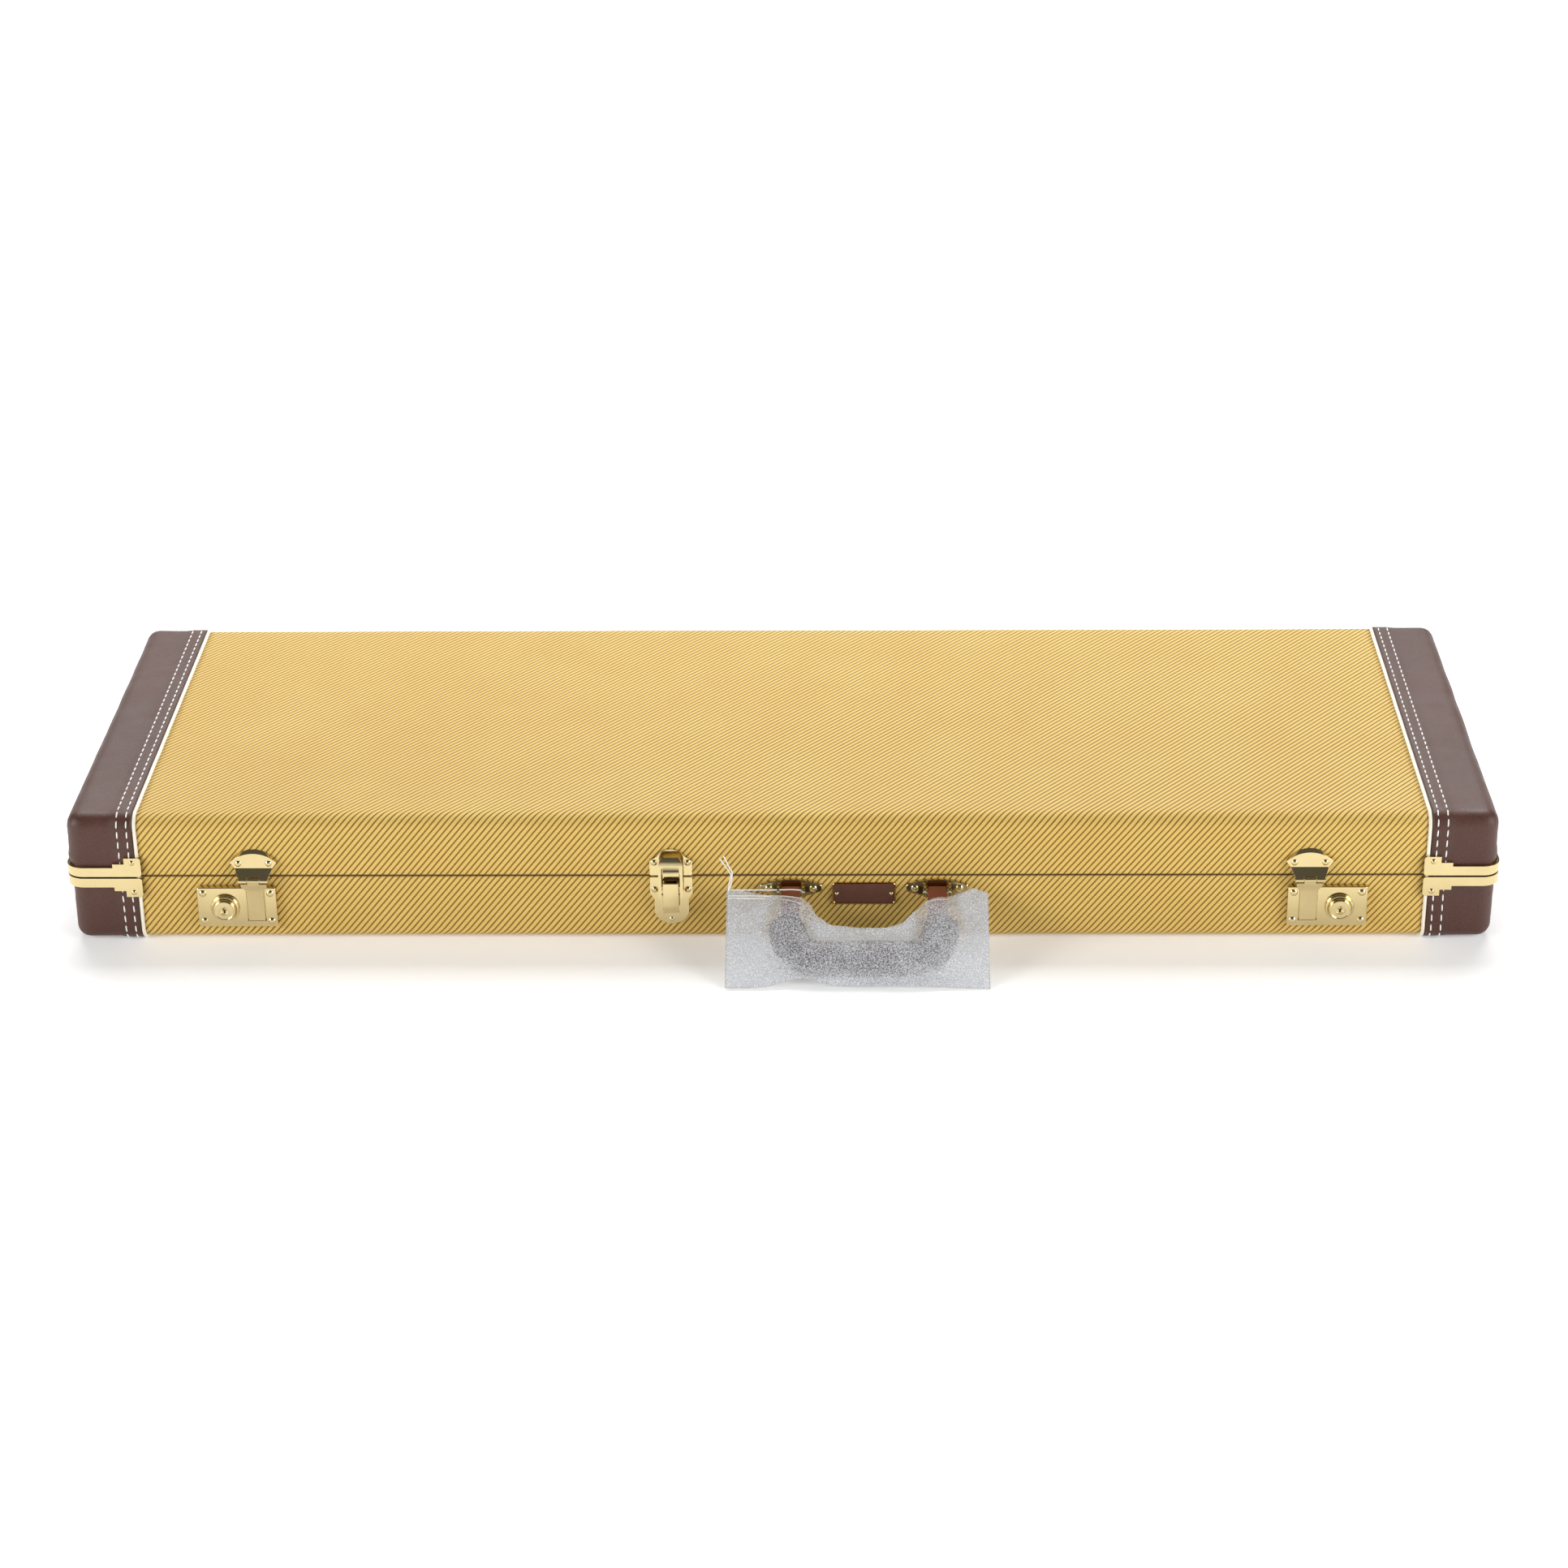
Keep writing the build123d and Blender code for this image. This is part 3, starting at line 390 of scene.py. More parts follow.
class Heap:
    """Collects the points and faces of many small shapes into one mesh."""

    def __init__(self):
        self.points = []
        self.faces = []

    def put(self, points, faces):
        start = len(self.points)
        self.points += points
        self.faces += [tuple(start + i for i in face) for face in faces]


# ---- the case's section -------------------------------------------------------------------
def section(grow, lid, flat_steps=14, arc_steps=9):
    """Outline round the case from the front seam to the back seam, as (point, outward, distance)."""
    sign = 1 if lid else -1
    seam = LID_SEAM if lid else BASE_SEAM
    far = (CORE_TOP + grow) if lid else (CORE_BOTTOM - grow)
    radius = EDGE_RADIUS + grow
    half = HALF_WIDTH + grow
    corner = far - sign * radius
    rows = []

    def put(y, z, ny, nz):
        point = Vector((0, y, z))
        distance = rows[-1][2] + (point - rows[-1][0]).length if rows else 0.0
        rows.append((point, Vector((0, ny, nz)), distance))

    for i in range(flat_steps):
        put(-half, seam + (corner - seam) * i / flat_steps, -1, 0)
    for i in range(arc_steps + 1):
        turn = math.pi / 2 * i / arc_steps
        put(-half + radius - radius * math.cos(turn), corner + sign * radius * math.sin(turn),
            -math.cos(turn), sign * math.sin(turn))
    across = 5 * flat_steps
    for i in range(1, across):
        put((half - radius) * (2 * i / across - 1), far, 0, sign)
    for i in range(arc_steps + 1):
        turn = math.pi / 2 * (1 - i / arc_steps)
        put(half - radius + radius * math.cos(turn), corner + sign * radius * math.sin(turn),
            math.cos(turn), sign * math.sin(turn))
    for i in range(1, flat_steps + 1):
        put(half, corner + (seam - corner) * i / flat_steps, 1, 0)
    return rows


# ---- tweed --------------------------------------------------------------------------------
def tweed_cover(lid):
    """Cloth glued round the ply between the two pipings, thread direction unrolled from the front seam."""
    rows = section(CLOTH, lid)
    half = PIPING_X - PIPING_RADIUS
    steps = 190
    points, faces, flat = [], [], []
    front_height = rows[0][0].z
    for i in range(steps + 1):
        x = -half + 2 * half * i / steps
        for point, outward, distance in rows:
            seam_fade = smoothstep(abs(point.z - SEAM), 0.0, 3 * MM)
            puff = noise.noise(Vector((x * 9, point.y * 9, point.z * 9 + lid))) * 0.22 * MM
            points.append(Vector((x, point.y, point.z)) + outward * (puff - 0.25 * MM) * seam_fade)
            up = distance if lid else -distance
            flat.append((x, up + front_height))
    width = len(rows)
    for i in range(steps):
        for j in range(width - 1):
            a = i * width + j
            faces.append((a, a + width, a + width + 1, a + 1))
    name = "lid_tweed" if lid else "base_tweed"
    node = "lid_tweed_cover" if lid else "base_tweed_cover"
    piece = new_piece(name, points, faces, TWEED, "lid" if lid else "base", [node])
    mesh = piece.data
    layer = mesh.uv_layers.new(name="cloth")
    for loop in mesh.loops:
        layer.data[loop.index].uv = flat[loop.vertex_index]
    face_outward(piece, Vector((0, 0, SEAM)))
    thick = piece.modifiers.new("cloth", "SOLIDIFY")
    thick.thickness = CLOTH * 0.7
    thick.offset = -1


def face_outward(piece, inside):
    """Turn every face away from a point inside the piece."""
    mesh = piece.data
    built = bmesh.new()
    built.from_mesh(mesh)
    for face in built.faces:
        if face.normal.dot(face.calc_center_median() - inside) < 0:
            face.normal_flip()
    built.to_mesh(mesh)
    built.free()


tweed_cover(True)
tweed_cover(False)


# ---- leatherette ends ---------------------------------------------------------------------
LEATHER = 2.4 * MM
BAND = 15.0 * MM


def end_cover(lid, side):
    """Leatherette cap over one end: a rounded box skin, thicker along its stitched edge."""
    sign = 1 if lid else -1
    seam = LID_SEAM if lid else BASE_SEAM
    far = CORE_TOP if lid else CORE_BOTTOM
    near_x = PIPING_X + PIPING_RADIUS
    grid = 3.0 * MM
    corner = EDGE_RADIUS
    inner = Vector((HALF_LENGTH - corner, HALF_WIDTH - corner, far - sign * corner))
    built = bmesh.new()
    found = {}

    def skin_point(x, y, z):
        """A point on the plain box, carried out to the rounded and wrinkled skin."""
        key = (round(x * 1e5), round(y * 1e5), round(z * 1e5))
        if key in found:
            return found[key]
        held_x = min(x, inner.x)
        held_y = min(max(y, -inner.y), inner.y)
        held_z = min(z, inner.z) if lid else max(z, inner.z)
        outward = Vector((x - held_x, y - held_y, z - held_z))
        outward.normalize()
        band = 1 - smoothstep(x - near_x, BAND * 0.75, BAND * 1.15)
        lift = 1.7 * MM + 0.7 * MM * band
        rub = Vector((x * side, y, z))
        broad = noise.noise(rub * 26 + Vector((3.1, 0, lid))) * 0.55 * MM
        creased = noise.noise(Vector((rub.x * 60, rub.y * 60, rub.z * 160))) * 0.3 * MM
        near_seam = 1 - smoothstep(abs(z - SEAM), 10 * MM, 32 * MM)
        free = 1 - band
        ends = smoothstep(x, HALF_LENGTH - 22 * MM, HALF_LENGTH)
        lift += (broad + creased * (0.4 + near_seam)) * free * (0.5 + 0.5 * ends)
        lift = min(max(lift, 0.6 * MM), 2.4 * MM)
        if lid:
            at_corner = ends * smoothstep(abs(y), HALF_WIDTH - 26 * MM, HALF_WIDTH - 6 * MM)
            above_strip = math.exp(-((z - SEAM - 15 * MM) / (5 * MM)) ** 2)
            lift += 1.1 * MM * at_corner * above_strip
        place = Vector((held_x, held_y, held_z)) + outward * (corner + lift)
        if x <= near_x + 1e-6:
            place.x = near_x
        if abs(z - seam) < 1e-6:
            place.z = seam
        vertex = built.verts.new((place.x * side, place.y, place.z))
        found[key] = vertex
        return vertex

    def steps(low, high):
        count = max(2, math.ceil(abs(high - low) / grid))
        return [low + (high - low) * i / count for i in range(count + 1)]

    xs = steps(near_x, HALF_LENGTH)
    ys = steps(-HALF_WIDTH, HALF_WIDTH)
    zs = steps(seam, far)

    def wall(first, second, make):
        for i in range(len(first) - 1):
            for j in range(len(second) - 1):
                corners = [make(first[i], second[j]), make(first[i + 1], second[j]),
                           make(first[i + 1], second[j + 1]), make(first[i], second[j + 1])]
                built.faces.new(corners)

    wall(xs, zs, lambda x, z: skin_point(x, -HALF_WIDTH, z))
    wall(xs, zs, lambda x, z: skin_point(x, HALF_WIDTH, z))
    wall(xs, ys, lambda x, y: skin_point(x, y, far))
    wall(ys, zs, lambda y, z: skin_point(HALF_LENGTH, y, z))
    bmesh.ops.recalc_face_normals(built, faces=built.faces)
    part = "lid" if lid else "base"
    hand = "right" if side > 0 else "left"
    mesh = bpy.data.meshes.new(f"{part}_leather_{hand}")
    built.to_mesh(mesh)
    built.free()
    piece = finish_piece(mesh.name, mesh, LEATHERETTE, part,
                         [f"{part}_end_cover_{hand}"])
    face_outward(piece, Vector((side * (near_x + 5 * MM), 0, SEAM)))
    thick = piece.modifiers.new("skin", "SOLIDIFY")
    thick.thickness = 1.0 * MM
    thick.offset = -1


def stitch_rows(lid, side):
    """Two rows of white saddle stitches along the band."""
    heap = Heap()
    pitch, length, girth = 8.5 * MM, 5.8 * MM, 0.55 * MM

    def slim(share):
        return girth * (1 - 0.45 * abs(2 * share - 1) ** 3)

    for offset in (5.6 * MM, 12.9 * MM):
        x = side * (PIPING_X + offset)
        rows = section(LEATHER + 0.12 * MM, lid, 30, 12)
        total = rows[-1][2]
        count = int((total - 6 * MM) / pitch)
        start = (total - (count - 1) * pitch - length) / 2
        for n in range(count):
            begin = start + n * pitch
            path = []
            for k in range(7):
                share = k / 6
                place, outward = along(rows, begin + length * share)
                dip = 0.45 * MM * (2 * share - 1) ** 4
                lean = 0.25 * MM * (share - 0.5)
                spot = Vector((x + lean, place.y, place.z)) - outward * dip
                spot.z = max(spot.z, girth)
                path.append(spot)
            heap.put(*tube(path, slim, 8))
    part = "lid" if lid else "base"
    hand = "right" if side > 0 else "left"
    new_piece(f"{part}_stitches_{hand}", heap.points, heap.faces, THREAD, part)


def along(rows, distance):
    """Point and outward direction at a distance along a section."""
    for (a, na, da), (b, nb, db) in zip(rows, rows[1:]):
        if distance <= db:
            share = (distance - da) / (db - da)
            return a.lerp(b, share), na.lerp(nb, share).normalized()
    return rows[-1][0], rows[-1][1]


def piping(lid, side):
    """White welt that fills the groove between tweed and leatherette."""
    rows = section(0.95 * MM, lid, 20, 12)
    path = []
    for point, outward, distance in rows:
        sway = noise.noise(Vector((distance * 40, side, lid))) * 0.12 * MM
        path.append(Vector((side * PIPING_X + sway, point.y, point.z)))
    part = "lid" if lid else "base"
    hand = "right" if side > 0 else "left"
    points, faces = tube(path, 1.45 * MM, 14)
    new_piece(f"{part}_welt_{hand}", points, faces, PIPING, part, [f"{part}_piping_{hand}"])


for is_lid in (True, False):
    for which in (-1, 1):
        end_cover(is_lid, which)
        stitch_rows(is_lid, which)
        piping(is_lid, which)


# ---- plain CAD pieces keep their shape and get a finish ------------------------------------
def dress_node(node, material, bevel):
    piece = frame["nodes"][node]
    piece.data.materials.clear()
    piece.data.materials.append(material)
    if bevel:
        weld = piece.modifiers.new("weld", "WELD")
        weld.merge_threshold = 0.01 * MM
        round_off = piece.modifiers.new("soft_edges", "BEVEL")
        round_off.width = bevel
        round_off.segments = 2
        round_off.limit_method = "ANGLE"
        round_off.angle_limit = math.radians(40)
    for polygon in piece.data.polygons:
        polygon.use_smooth = True
    even = piece.modifiers.new("weighted", "WEIGHTED_NORMAL")
    even.keep_sharp = True
    even.weight = 60


shown = {row["node"]: row["material_slot"] for row in frame["record"]["subparts"]}
FINISH = {"brass_trim": (BRASS, 0.25 * MM), "plywood": (PLYWOOD, 0.0)}
for node_name, slot_name in shown.items():
    if slot_name in FINISH:
        dress_node(node_name, *FINISH[slot_name])


# ---- handle -------------------------------------------------------------------------------
joints = {joint["name"]: joint for joint in frame["joints"]}
HANDLE_SLOPE = math.radians(33)
pivot = Vector(joints["handle_swing"]["pos_m"])
REACH = Vector((0, -math.cos(HANDLE_SLOPE), -math.sin(HANDLE_SLOPE)))
LIFT = Vector((0, -math.sin(HANDLE_SLOPE), math.cos(HANDLE_SLOPE)))
strap_boxes = [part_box("handle_strap_left"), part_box("handle_strap_right")]
STRAP_X = [(low[0] + high[0]) / 2 for low, high in strap_boxes]
HANDLE_X = sum(STRAP_X) / 2
STRAP_HALF = (strap_boxes[0][1][0] - strap_boxes[0][0][0]) / 2


def on_handle(across, out, up):
    """A point in the handle's own plane: across along X, out from the pivot, and up from the plane."""
    return Vector((HANDLE_X + across, pivot.y, pivot.z)) + REACH * out + LIFT * up


def strap(index):
    """Leather strap folded round the bracket's pin: two layers that meet and run into the grip."""
    pin, thick = 2.1 * MM, 2.0 * MM
    middle = pin + thick / 2
    line = []
    for out in (30, 24, 18, 12, 8):
        squeeze = smoothstep(out, 4, 16)
        line.append((out * MM, middle + (thick * 0.55 - middle) * squeeze))
    for k in range(9):
        turn = math.pi * k / 8
        line.append((-middle * math.sin(turn), middle * math.cos(turn)))
    for out in (8, 12, 18, 24, 30):
        squeeze = smoothstep(out, 4, 16)
        line.append((out * MM, -middle - (thick * 0.55 - middle) * squeeze))
    centre = STRAP_X[index] - HANDLE_X
    rim = [(-1, 0.0), (-0.93, 0.75), (-0.8, 1.0), (0, 1.0), (0.8, 1.0), (0.93, 0.75), (1, 0.0),
           (0.93, -0.75), (0.8, -1.0), (0, -1.0), (-0.8, -1.0), (-0.93, -0.75)]
    points, faces = [], []
    for i, (out, up) in enumerate(line):
        before, after = line[max(i - 1, 0)], line[min(i + 1, len(line) - 1)]
        ahead = Vector((after[0] - before[0], after[1] - before[1])).normalized()
        normal = Vector((-ahead.y, ahead.x))
        for wide, deep in rim:
            off = normal * (deep * thick / 2)
            points.append(on_handle(centre + wide * STRAP_HALF, out + off.x, up + off.y))
    ring = len(rim)
    for i in range(len(line) - 1):
        for k in range(ring):
            a, b = i * ring + k, i * ring + (k + 1) % ring
            faces.append((a, a + ring, b + ring, b))
    faces.append(tuple(range(ring)))
    faces.append(tuple(reversed(range(len(points) - ring, len(points)))))
    node = f"handle_strap_{('left', 'right')[index]}"
    piece = new_piece(f"strap_{('left', 'right')[index]}", points, faces, STRAP_LEATHER, "handle",
                      [node])
    piece.modifiers.new("round", "SUBSURF").render_levels = 1


HANDLE_HALF_SPACING = (STRAP_X[1] - STRAP_X[0]) / 2
GRIP_START, GRIP_REACH, GRIP_SPAN = 22.0 * MM, 57.0 * MM, 57.0 * MM
GRIP_DEPTH, GRIP_THICK = 15.0 * MM, 10.5 * MM
GRIP_BEND = 24.0 * MM


def grip_line():
    """The grip's centre line, (across, out) pairs: two short legs joined to a bar by round bends."""
    corner_x, corner_out = GRIP_SPAN - GRIP_BEND, GRIP_REACH - GRIP_BEND
    half = []
    start_x = HANDLE_HALF_SPACING
    for k in range(6):
        share = k / 6
        half.append((start_x + (GRIP_SPAN - start_x) * share,
                     GRIP_START + (corner_out - GRIP_START) * share))
    for k in range(11):
        turn = math.pi / 2 * k / 10
        half.append((corner_x + GRIP_BEND * math.cos(turn), corner_out + GRIP_BEND * math.sin(turn)))
    bar = [(corner_x * (1 - 2 * k / 20), GRIP_REACH) for k in range(1, 20)]
    other = [(-x, out) for x, out in reversed(half)]
    return half + bar + other


GRIP_LINE = grip_line()


def grip():
    """Padded leather grip: an oval bar that thins towards the straps."""
    line = GRIP_LINE
    sides = 28
    points, faces = [], []
    for i, (across, out) in enumerate(line):
        before, after = line[max(i - 1, 0)], line[min(i + 1, len(line) - 1)]
        ahead = Vector((after[0] - before[0], after[1] - before[1])).normalized()
        normal = Vector((ahead.y, -ahead.x))
        taper = 0.62 + 0.38 * smoothstep(min(i, len(line) - 1 - i), 0, 5)
        for k in range(sides):
            turn = 2 * math.pi * k / sides
            deep = math.cos(turn) * GRIP_DEPTH * 0.96 * taper
            up = math.sin(turn) * GRIP_THICK * 0.96 * taper
            points.append(on_handle(across + normal.x * deep, out + normal.y * deep, up))
    for i in range(len(line) - 1):
        for k in range(sides):
            a, b = i * sides + k, i * sides + (k + 1) % sides
            faces.append((a, b, b + sides, a + sides))
    faces.append(tuple(reversed(range(sides))))
    faces.append(tuple(range(len(points) - sides, len(points))))
    piece = new_piece("grip", points, faces, GRIP_LEATHER, "handle", ["handle_grip"])


def from_grip(across, out):
    """Distance in the handle's plane from the grip's centre line."""
    best = 1.0
    for (ax, ao), (bx, bo) in zip(GRIP_LINE, GRIP_LINE[1:]):
        dx, do = bx - ax, bo - ao
        share = ((across - ax) * dx + (out - ao) * do) / (dx * dx + do * do)
        share = min(max(share, 0.0), 1.0)
        best = min(best, math.hypot(across - ax - dx * share, out - ao - do * share))
    return best


WRAP_CENTRE = -5.0 * MM
WRAP_HALF = 98.0 * MM
WRAP_FAR = 81.0 * MM
# the bag's mouth, from its left corner to its right one: (across from the bag's centre, out), in mm
MOUTH = [(-98, -3), (-80, 1), (-62, 6), (-44, 8.5), (-37, 12), (-29, 24), (-18, 31), (0, 33), (20, 33),
         (32, 29), (44, 19), (54, 11.5), (66, 8), (78, 3), (88, -1), (98, 2)]


# folds in the foam, as pairs of (across, out) ends, in mm
CREASES = [((-78, 36), (-20, 66)), ((-46, 28), (-6, 35)), ((-70, 62), (-30, 54)), ((60, 30), (84, 58)),
           ((10, 60), (66, 72)), ((-88, 20), (-74, 46))]


def off_line(across, out, first, last):
    """Distance of a point from a straight fold line."""
    ax, ao, bx, bo = (value * MM for value in (*first, *last))
    share = ((across - ax) * (bx - ax) + (out - ao) * (bo - ao)) / ((bx - ax) ** 2 + (bo - ao) ** 2)
    share = min(max(share, 0.0), 1.0)
    return math.hypot(across - ax - share * (bx - ax), out - ao - share * (bo - ao))


def mouth_out(across):
    """How far out the mouth's edge lies, smoothly between its few points."""
    spots = [(x * MM, out * MM) for x, out in MOUTH]
    for (ax, ao), (bx, bo) in zip(spots, spots[1:]):
        if across <= bx:
            share = (across - ax) / (bx - ax)
            return ao + (bo - ao) * smoothstep(share, 0, 1) * 0.5 + (bo - ao) * share * 0.5
    return spots[-1][1]


def foam_bag():
    """Thin foam bag round the grip: two sheets that hug it and lie flat together beyond it."""
    wide, deep = 150, 66
    rows = []
    for sheet_sign in (1, -1):
        sheet = []
        for i in range(wide + 1):
            x = WRAP_HALF * (2 * i / wide - 1)
            across = x + WRAP_CENTRE
            near = mouth_out(x)
            notch = math.exp(-((x + 42 * MM) / (17 * MM)) ** 2)
            far = WRAP_FAR - 1.2 * MM * math.cos(x / WRAP_HALF * 2.2) - 6.5 * MM * notch
            column = []
            for j in range(deep + 1):
                out = near + (far - near) * j / deep
                gap = from_grip(across, out)
                hug = GRIP_THICK * math.sqrt(max(0.0, 1 - (gap / (GRIP_DEPTH * 1.1)) ** 2))
                tent = GRIP_THICK * 0.80 * math.exp(-max(0.0, gap - GRIP_DEPTH * 0.55) / (10.0 * MM))
                rise = max(hug, tent) + 0.9 * MM
                edge = min(WRAP_HALF - abs(x), far - out)
                rise *= smoothstep(edge, -1.0 * MM, 16 * MM) * 0.96 + 0.04
                spot = Vector((across, out, sheet_sign * 0.05))
                broad = noise.noise(spot * 42) * 2.0 * MM
                fold = abs(noise.noise(Vector((across * 70 + out * 46, out * 30, sheet_sign)))) * 2.6 * MM
                crinkle = noise.noise(spot * 260) * 0.45 * MM
                loose = smoothstep(gap, GRIP_DEPTH * 0.4, GRIP_DEPTH * 1.6)
                over_grip = GRIP_THICK * math.sqrt(max(0.0, 1 - (gap / GRIP_DEPTH) ** 2)) + 0.8 * MM
                pinch = smoothstep(edge, 0, 6 * MM)
                rise += (broad * 0.5 + fold * 0.7) * (0.25 + 0.75 * loose) * pinch + crinkle * pinch
                for line_start, line_end in CREASES:
                    from_fold = off_line(across, out, line_start, line_end) / (1.7 * MM)
                    rise += 1.5 * MM * math.exp(-from_fold ** 2) * pinch
                rise = max(rise, over_grip if gap < GRIP_DEPTH else 0.25 * MM)
                free = smoothstep(gap, GRIP_DEPTH, GRIP_DEPTH * 1.8)
                sway = noise.noise(Vector((across * 16, out * 12, 4.0))) * 2.2 * MM * free
                place = on_handle(across, out, sheet_sign * rise + sway)
                place.z = max(place.z, 0.35 * MM + 0.3 * MM * (sheet_sign > 0))
                column.append(place)
            sheet.append(column)
        rows.append(sheet)
    points, faces = [], []
    index = {}
    for s in range(2):
        for i in range(wide + 1):
            for j in range(deep + 1):
                seam = i in (0, wide) or j == deep
                if s == 1 and seam:
                    index[s, i, j] = index[0, i, j]
                    continue
                if seam:
                    points.append((rows[0][i][j] + rows[1][i][j]) / 2)
                else:
                    points.append(rows[s][i][j])
                index[s, i, j] = len(points) - 1
    for s in range(2):
        for i in range(wide):
            for j in range(deep):
                quad = (index[s, i, j], index[s, i + 1, j], index[s, i + 1, j + 1], index[s, i, j + 1])
                faces.append(quad if s else tuple(reversed(quad)))
    piece = new_piece("foam_bag", points, faces, FOAM, "handle", ["handle_wrap"])
    off_grip = piece.data.attributes.new("loose", "FLOAT", "POINT")
    for vertex in piece.data.vertices:
        gap = from_grip(vertex.co.x - HANDLE_X, (vertex.co - on_handle(0, 0, 0)).dot(REACH))
        off_grip.data[vertex.index].value = smoothstep(gap, GRIP_DEPTH * 0.8, GRIP_DEPTH * 1.4)
    skin = piece.modifiers.new("foam", "SOLIDIFY")
    skin.thickness = 0.4 * MM
    skin.offset = 0
    return piece


def tie_threads():
    """White threads that tie the bag's mouth to each strap, with two short cut ends at the left.

    The cut ends lean on the case and start on the handle's axis, so they stay put when it swings.
    """
    heap, ends = Heap(), Heap()
    girth = 0.5 * MM
    left = STRAP_X[0] - HANDLE_X
    right = STRAP_X[1] - HANDLE_X

    def wind(points, into=heap):
        path = []
        for a, b in zip(points, points[1:]):
            for k in range(8):
                path.append(a.lerp(b, k / 8))
        path.append(points[-1])
        for _ in range(3):
            middle = [(path[i - 1] + path[i] * 2 + path[i + 1]) / 4 for i in range(1, len(path) - 1)]
            path = [path[0]] + middle + [path[-1]]
        into.put(*tube(path, girth, 8))

    half = STRAP_HALF + 1.0 * MM
    corner = left - 47 * MM
    for out, up, tilt in ((1.0, 4.6, 0.0), (6.0, 4.2, 2.0), (8.0, 3.6, 4.0)):
        wind([on_handle(corner, (out - 2) * MM, 1.0 * MM),
              on_handle(left - half, out * MM, up * MM),
              on_handle(left, (out + tilt * 0.5) * MM, (up + 0.6) * MM),
              on_handle(left + half, (out + tilt) * MM, up * MM * 0.9),
              on_handle(left + half + 0.6 * MM, (out + tilt + 1) * MM, -2.0 * MM),
              on_handle(left, (out + tilt) * MM, -4.2 * MM),
              on_handle(left - half, out * MM, -3.0 * MM)])
    wind([on_handle(right - half, 11.0 * MM, -2.5 * MM), on_handle(right - half, 10.5 * MM, 2.8 * MM),
          on_handle(right, 9.2 * MM, 4.4 * MM), on_handle(right + half, 8.2 * MM, 2.8 * MM),
          on_handle(right + half, 8.4 * MM, -2.5 * MM), on_handle(right, 9.6 * MM, -4.2 * MM),
          on_handle(right - half, 11.0 * MM, -2.5 * MM)])
    knot = on_handle(corner, 0, 0)
    wind([knot, knot + Vector((1.0, -1.0, 8.0)) * MM, knot + Vector((2.5, -1.0, 15.0)) * MM,
          knot + Vector((-1.0, 1.0, 20.0)) * MM, knot + Vector((-6.0, 2.0, 27.0)) * MM], ends)
    wind([knot, knot + Vector((2.5, -1.5, 7.0)) * MM, knot + Vector((3.5, -1.0, 17.0)) * MM,
          knot + Vector((1.0, 0.0, 21.0)) * MM, knot + Vector((-3.0, 2.5, 29.0)) * MM], ends)
    new_piece("tie_threads", heap.points, heap.faces, THREAD, "handle")
    new_piece("tie_thread_ends", ends.points, ends.faces, THREAD, "base")


strap(0)
strap(1)
grip()
bag = foam_bag()
tie_threads()


# ---- badge --------------------------------------------------------------------------------
def badge():
    """Dark enamel plate inside a narrow raised brass border, with no lettering."""
    low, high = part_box("badge_plate")
    centre = ((low[0] + high[0]) / 2, (low[2] + high[2]) / 2)
    half = ((high[0] - low[0]) / 2, (high[2] - low[2]) / 2)
    border, corner = 1.1 * MM, 3.0 * MM

    def ring(shrink, y):
        spots = []
        radius = corner - shrink * 0.8
        for quarter, (sx, sz) in enumerate(((1, 1), (-1, 1), (-1, -1), (1, -1))):
            for k in range(7):
                turn = math.pi / 2 * (quarter + k / 6)
                x = centre[0] + sx * (half[0] - shrink - radius) + radius * math.cos(turn)
                z = centre[1] + sz * (half[1] - shrink - radius) + radius * math.sin(turn)
                spots.append(Vector((x, y, z)))
        return spots

    def build(name, rings, material, replaced=()):
        points = [p for spots in rings for p in spots]
        count = len(rings[0])
        faces = []
        for r in range(len(rings) - 1):
            for k in range(count):
                a, b = r * count + k, r * count + (k + 1) % count
                faces.append((a, b, b + count, a + count))
        faces.append(tuple(reversed(range(count))))
        faces.append(tuple(range(len(points) - count, len(points))))
        new_piece(name, points, faces, material, "base", replaced, smooth=False)

    back, face = high[1], low[1]
    field = back - 1.0 * MM
    build("badge_border", [ring(0, back), ring(0, face + 0.3 * MM), ring(0.3 * MM, face),
                           ring(border - 0.3 * MM, face), ring(border, face + 0.3 * MM), ring(border, back)],
          BADGE_GOLD, ["badge_plate"])
    top = ring(border + 0.1 * MM, field - 0.05 * MM)
    build("badge_field", [ring(border, back), ring(border, field), top], BADGE)


badge()


# ---- padding and lining -------------------------------------------------------------------
def bake_modifiers(piece):
    """Apply a piece's modifiers to its mesh."""
    bpy.context.view_layer.update()
    graph = bpy.context.evaluated_depsgraph_get()
    mesh = bpy.data.meshes.new_from_object(piece.evaluated_get(graph))
    piece.modifiers.clear()
    piece.data = mesh


def plush_cover(node, body, voxel, pile):
    """A CAD pad's shape, softened, with a plush surface that undulates slightly."""
    source = frame["nodes"][node]
    mesh = source.data.copy()
    mesh.name = f"plush_{node}"
    piece = finish_piece(mesh.name, mesh, PLUSH, body, [node])
    remesh = piece.modifiers.new("voxel", "REMESH")
    remesh.mode = "VOXEL"
    remesh.voxel_size = voxel
    remesh.use_smooth_shade = True
    settle = piece.modifiers.new("settle", "SMOOTH")
    settle.factor = 0.5
    settle.iterations = 6
    bake_modifiers(piece)
    mesh = piece.data
    spots = [v.co.copy() for v in mesh.vertices]
    normals = [v.normal.copy() for v in mesh.vertices]
    for vertex, spot, normal in zip(mesh.vertices, spots, normals):
        swell = noise.noise(spot * 22) * 0.8 * MM + noise.noise(spot * 240) * pile
        vertex.co = spot + normal * (swell - 0.6 * MM)
    for polygon in mesh.polygons:
        polygon.use_smooth = True


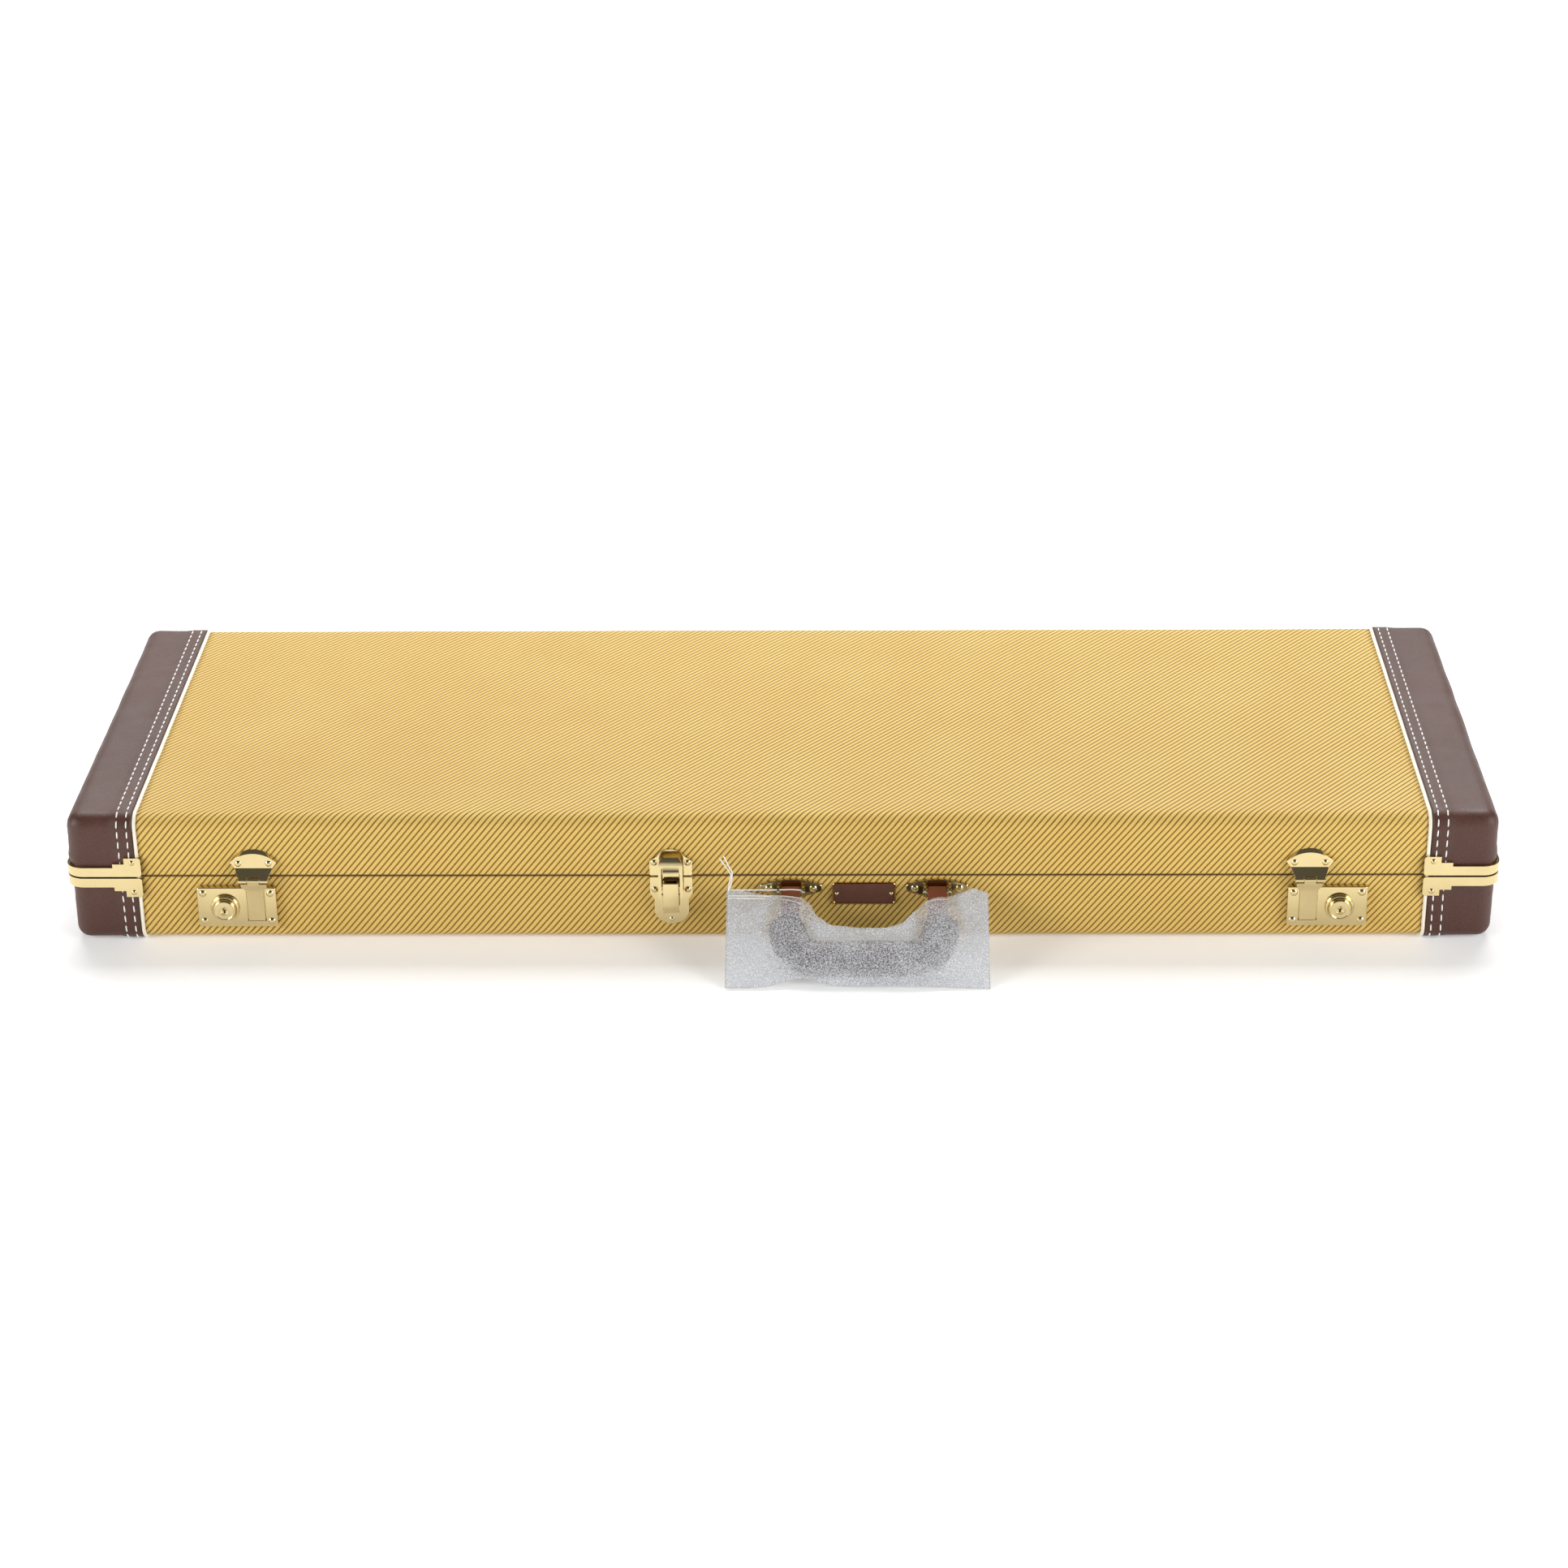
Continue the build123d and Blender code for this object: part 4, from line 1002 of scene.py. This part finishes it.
bodies = frame["record"]["behaviour"]["bodies"]
body_of_node = {node: body for body, nodes in bodies.items() for node in nodes}
VOXEL = {"floor_pad": 5.0, "lid_top_pad": 5.0, "lid_side_lining": 1.6, "accessory_pull_tab": 0.8,
         "accessory_lid": 2.5, "accessory_box": 2.2}
for node_name, slot_name in shown.items():
    if slot_name == "red_plush":
        size = VOXEL.get(node_name, 3.5) * MM
        plush_cover(node_name, body_of_node[node_name], size, 0.25 * MM)


# ---- floor, light and camera --------------------------------------------------------------
def paper_floor():
    """One sheet of white paper that lies flat and then sweeps up far behind."""
    half, bend, depth, rise = 6.0, 0.8, 3.5, 1.7
    line = [(-6.0, 0.0), (depth, 0.0)]
    for k in range(1, 17):
        turn = math.pi / 2 * k / 16
        line.append((depth + bend * math.sin(turn), bend - bend * math.cos(turn)))
    line.append((depth + bend, rise))
    points = [(x, y, z) for y, z in line for x in (-half, half)]
    faces = [(2 * i, 2 * i + 1, 2 * i + 3, 2 * i + 2) for i in range(len(line) - 1)]
    mesh = bpy.data.meshes.new("paper_floor")
    mesh.from_pydata(points, [], faces)
    g = Graph("paper", Roughness=0.9, Specular_IOR_Level=0.1)
    g.shader.inputs["Base Color"].default_value = rgb(250, 250, 250)
    g.shader.inputs["Emission Color"].default_value = (1.0, 1.0, 1.0, 1.0)
    g.shader.inputs["Emission Strength"].default_value = 0.22
    mesh.materials.append(g.material)
    for polygon in mesh.polygons:
        polygon.use_smooth = True
    paper = bpy.data.objects.new("paper_floor", mesh)
    bpy.context.scene.collection.objects.link(paper)


def soft_box(name, place, aim, width, height, power):
    light = bpy.data.lights.new(name, "AREA")
    light.shape = "RECTANGLE"
    light.size = width
    light.size_y = height
    light.energy = power
    lamp = bpy.data.objects.new(name, light)
    lamp.location = place
    lamp.rotation_euler = (Vector(aim) - Vector(place)).to_track_quat("-Z", "Y").to_euler()
    bpy.context.scene.collection.objects.link(lamp)


def camera():
    """Long lens, standing in front of the case and looking down at it by 26 degrees."""
    yaw, pitch, roll = math.radians(-1.40), math.radians(25.88), math.radians(-0.71)
    ahead = Vector((math.sin(yaw) * math.cos(pitch), math.cos(yaw) * math.cos(pitch), -math.sin(pitch)))
    level = Vector((math.cos(yaw), -math.sin(yaw), 0))
    above = level.cross(ahead)
    right = level * math.cos(roll) + above * math.sin(roll)
    up = above * math.cos(roll) - level * math.sin(roll)
    data = bpy.data.cameras.new("camera")
    data.sensor_width = 36.0
    data.lens = 81.93
    data.clip_start = 0.05
    view = bpy.data.objects.new("camera", data)
    view.matrix_world = Matrix.Translation((0.062, -2.563, 1.289)) @ Matrix((
        (right.x, up.x, -ahead.x), (right.y, up.y, -ahead.y), (right.z, up.z, -ahead.z))).to_4x4()
    bpy.context.scene.collection.objects.link(view)
    bpy.context.scene.camera = view


def surroundings():
    """A white studio whose ceiling is dark, so that brass shows dark where it faces up."""
    world = bpy.data.worlds.new("studio")
    world.use_nodes = True
    tree = world.node_tree
    background = tree.nodes["Background"]
    place = tree.nodes.new("ShaderNodeTexCoord")
    split = tree.nodes.new("ShaderNodeSeparateXYZ")
    ceiling = tree.nodes.new("ShaderNodeMapRange")
    ceiling.interpolation_type = "SMOOTHSTEP"
    for name, value in (("From Min", 0.05), ("From Max", 0.30), ("To Min", 0.95), ("To Max", 0.13)):
        ceiling.inputs[name].default_value = value
    tree.links.new(place.outputs["Generated"], split.inputs["Vector"])
    tree.links.new(split.outputs["Z"], ceiling.inputs["Value"])
    tree.links.new(ceiling.outputs["Result"], background.inputs["Strength"])
    background.inputs["Color"].default_value = (0.92, 0.92, 0.93, 1.0)
    bpy.context.scene.world = world
    bpy.context.scene.view_settings.view_transform = "Standard"


paper_floor()
surroundings()
soft_box("overhead", (0.0, 1.5, 2.3), (0.0, 0.1, 0.0), 3.0, 1.6, 78)
soft_box("left_soft", (-2.6, -1.5, 1.1), (0.0, -0.1, 0.05), 1.4, 1.4, 46)
soft_box("right_soft", (2.6, -1.5, 1.1), (0.0, -0.1, 0.05), 1.4, 1.4, 52)
soft_box("backdrop_wash", (0.0, 2.6, 3.4), (0.0, 4.6, 0.0), 5.0, 2.0, 130)
camera()
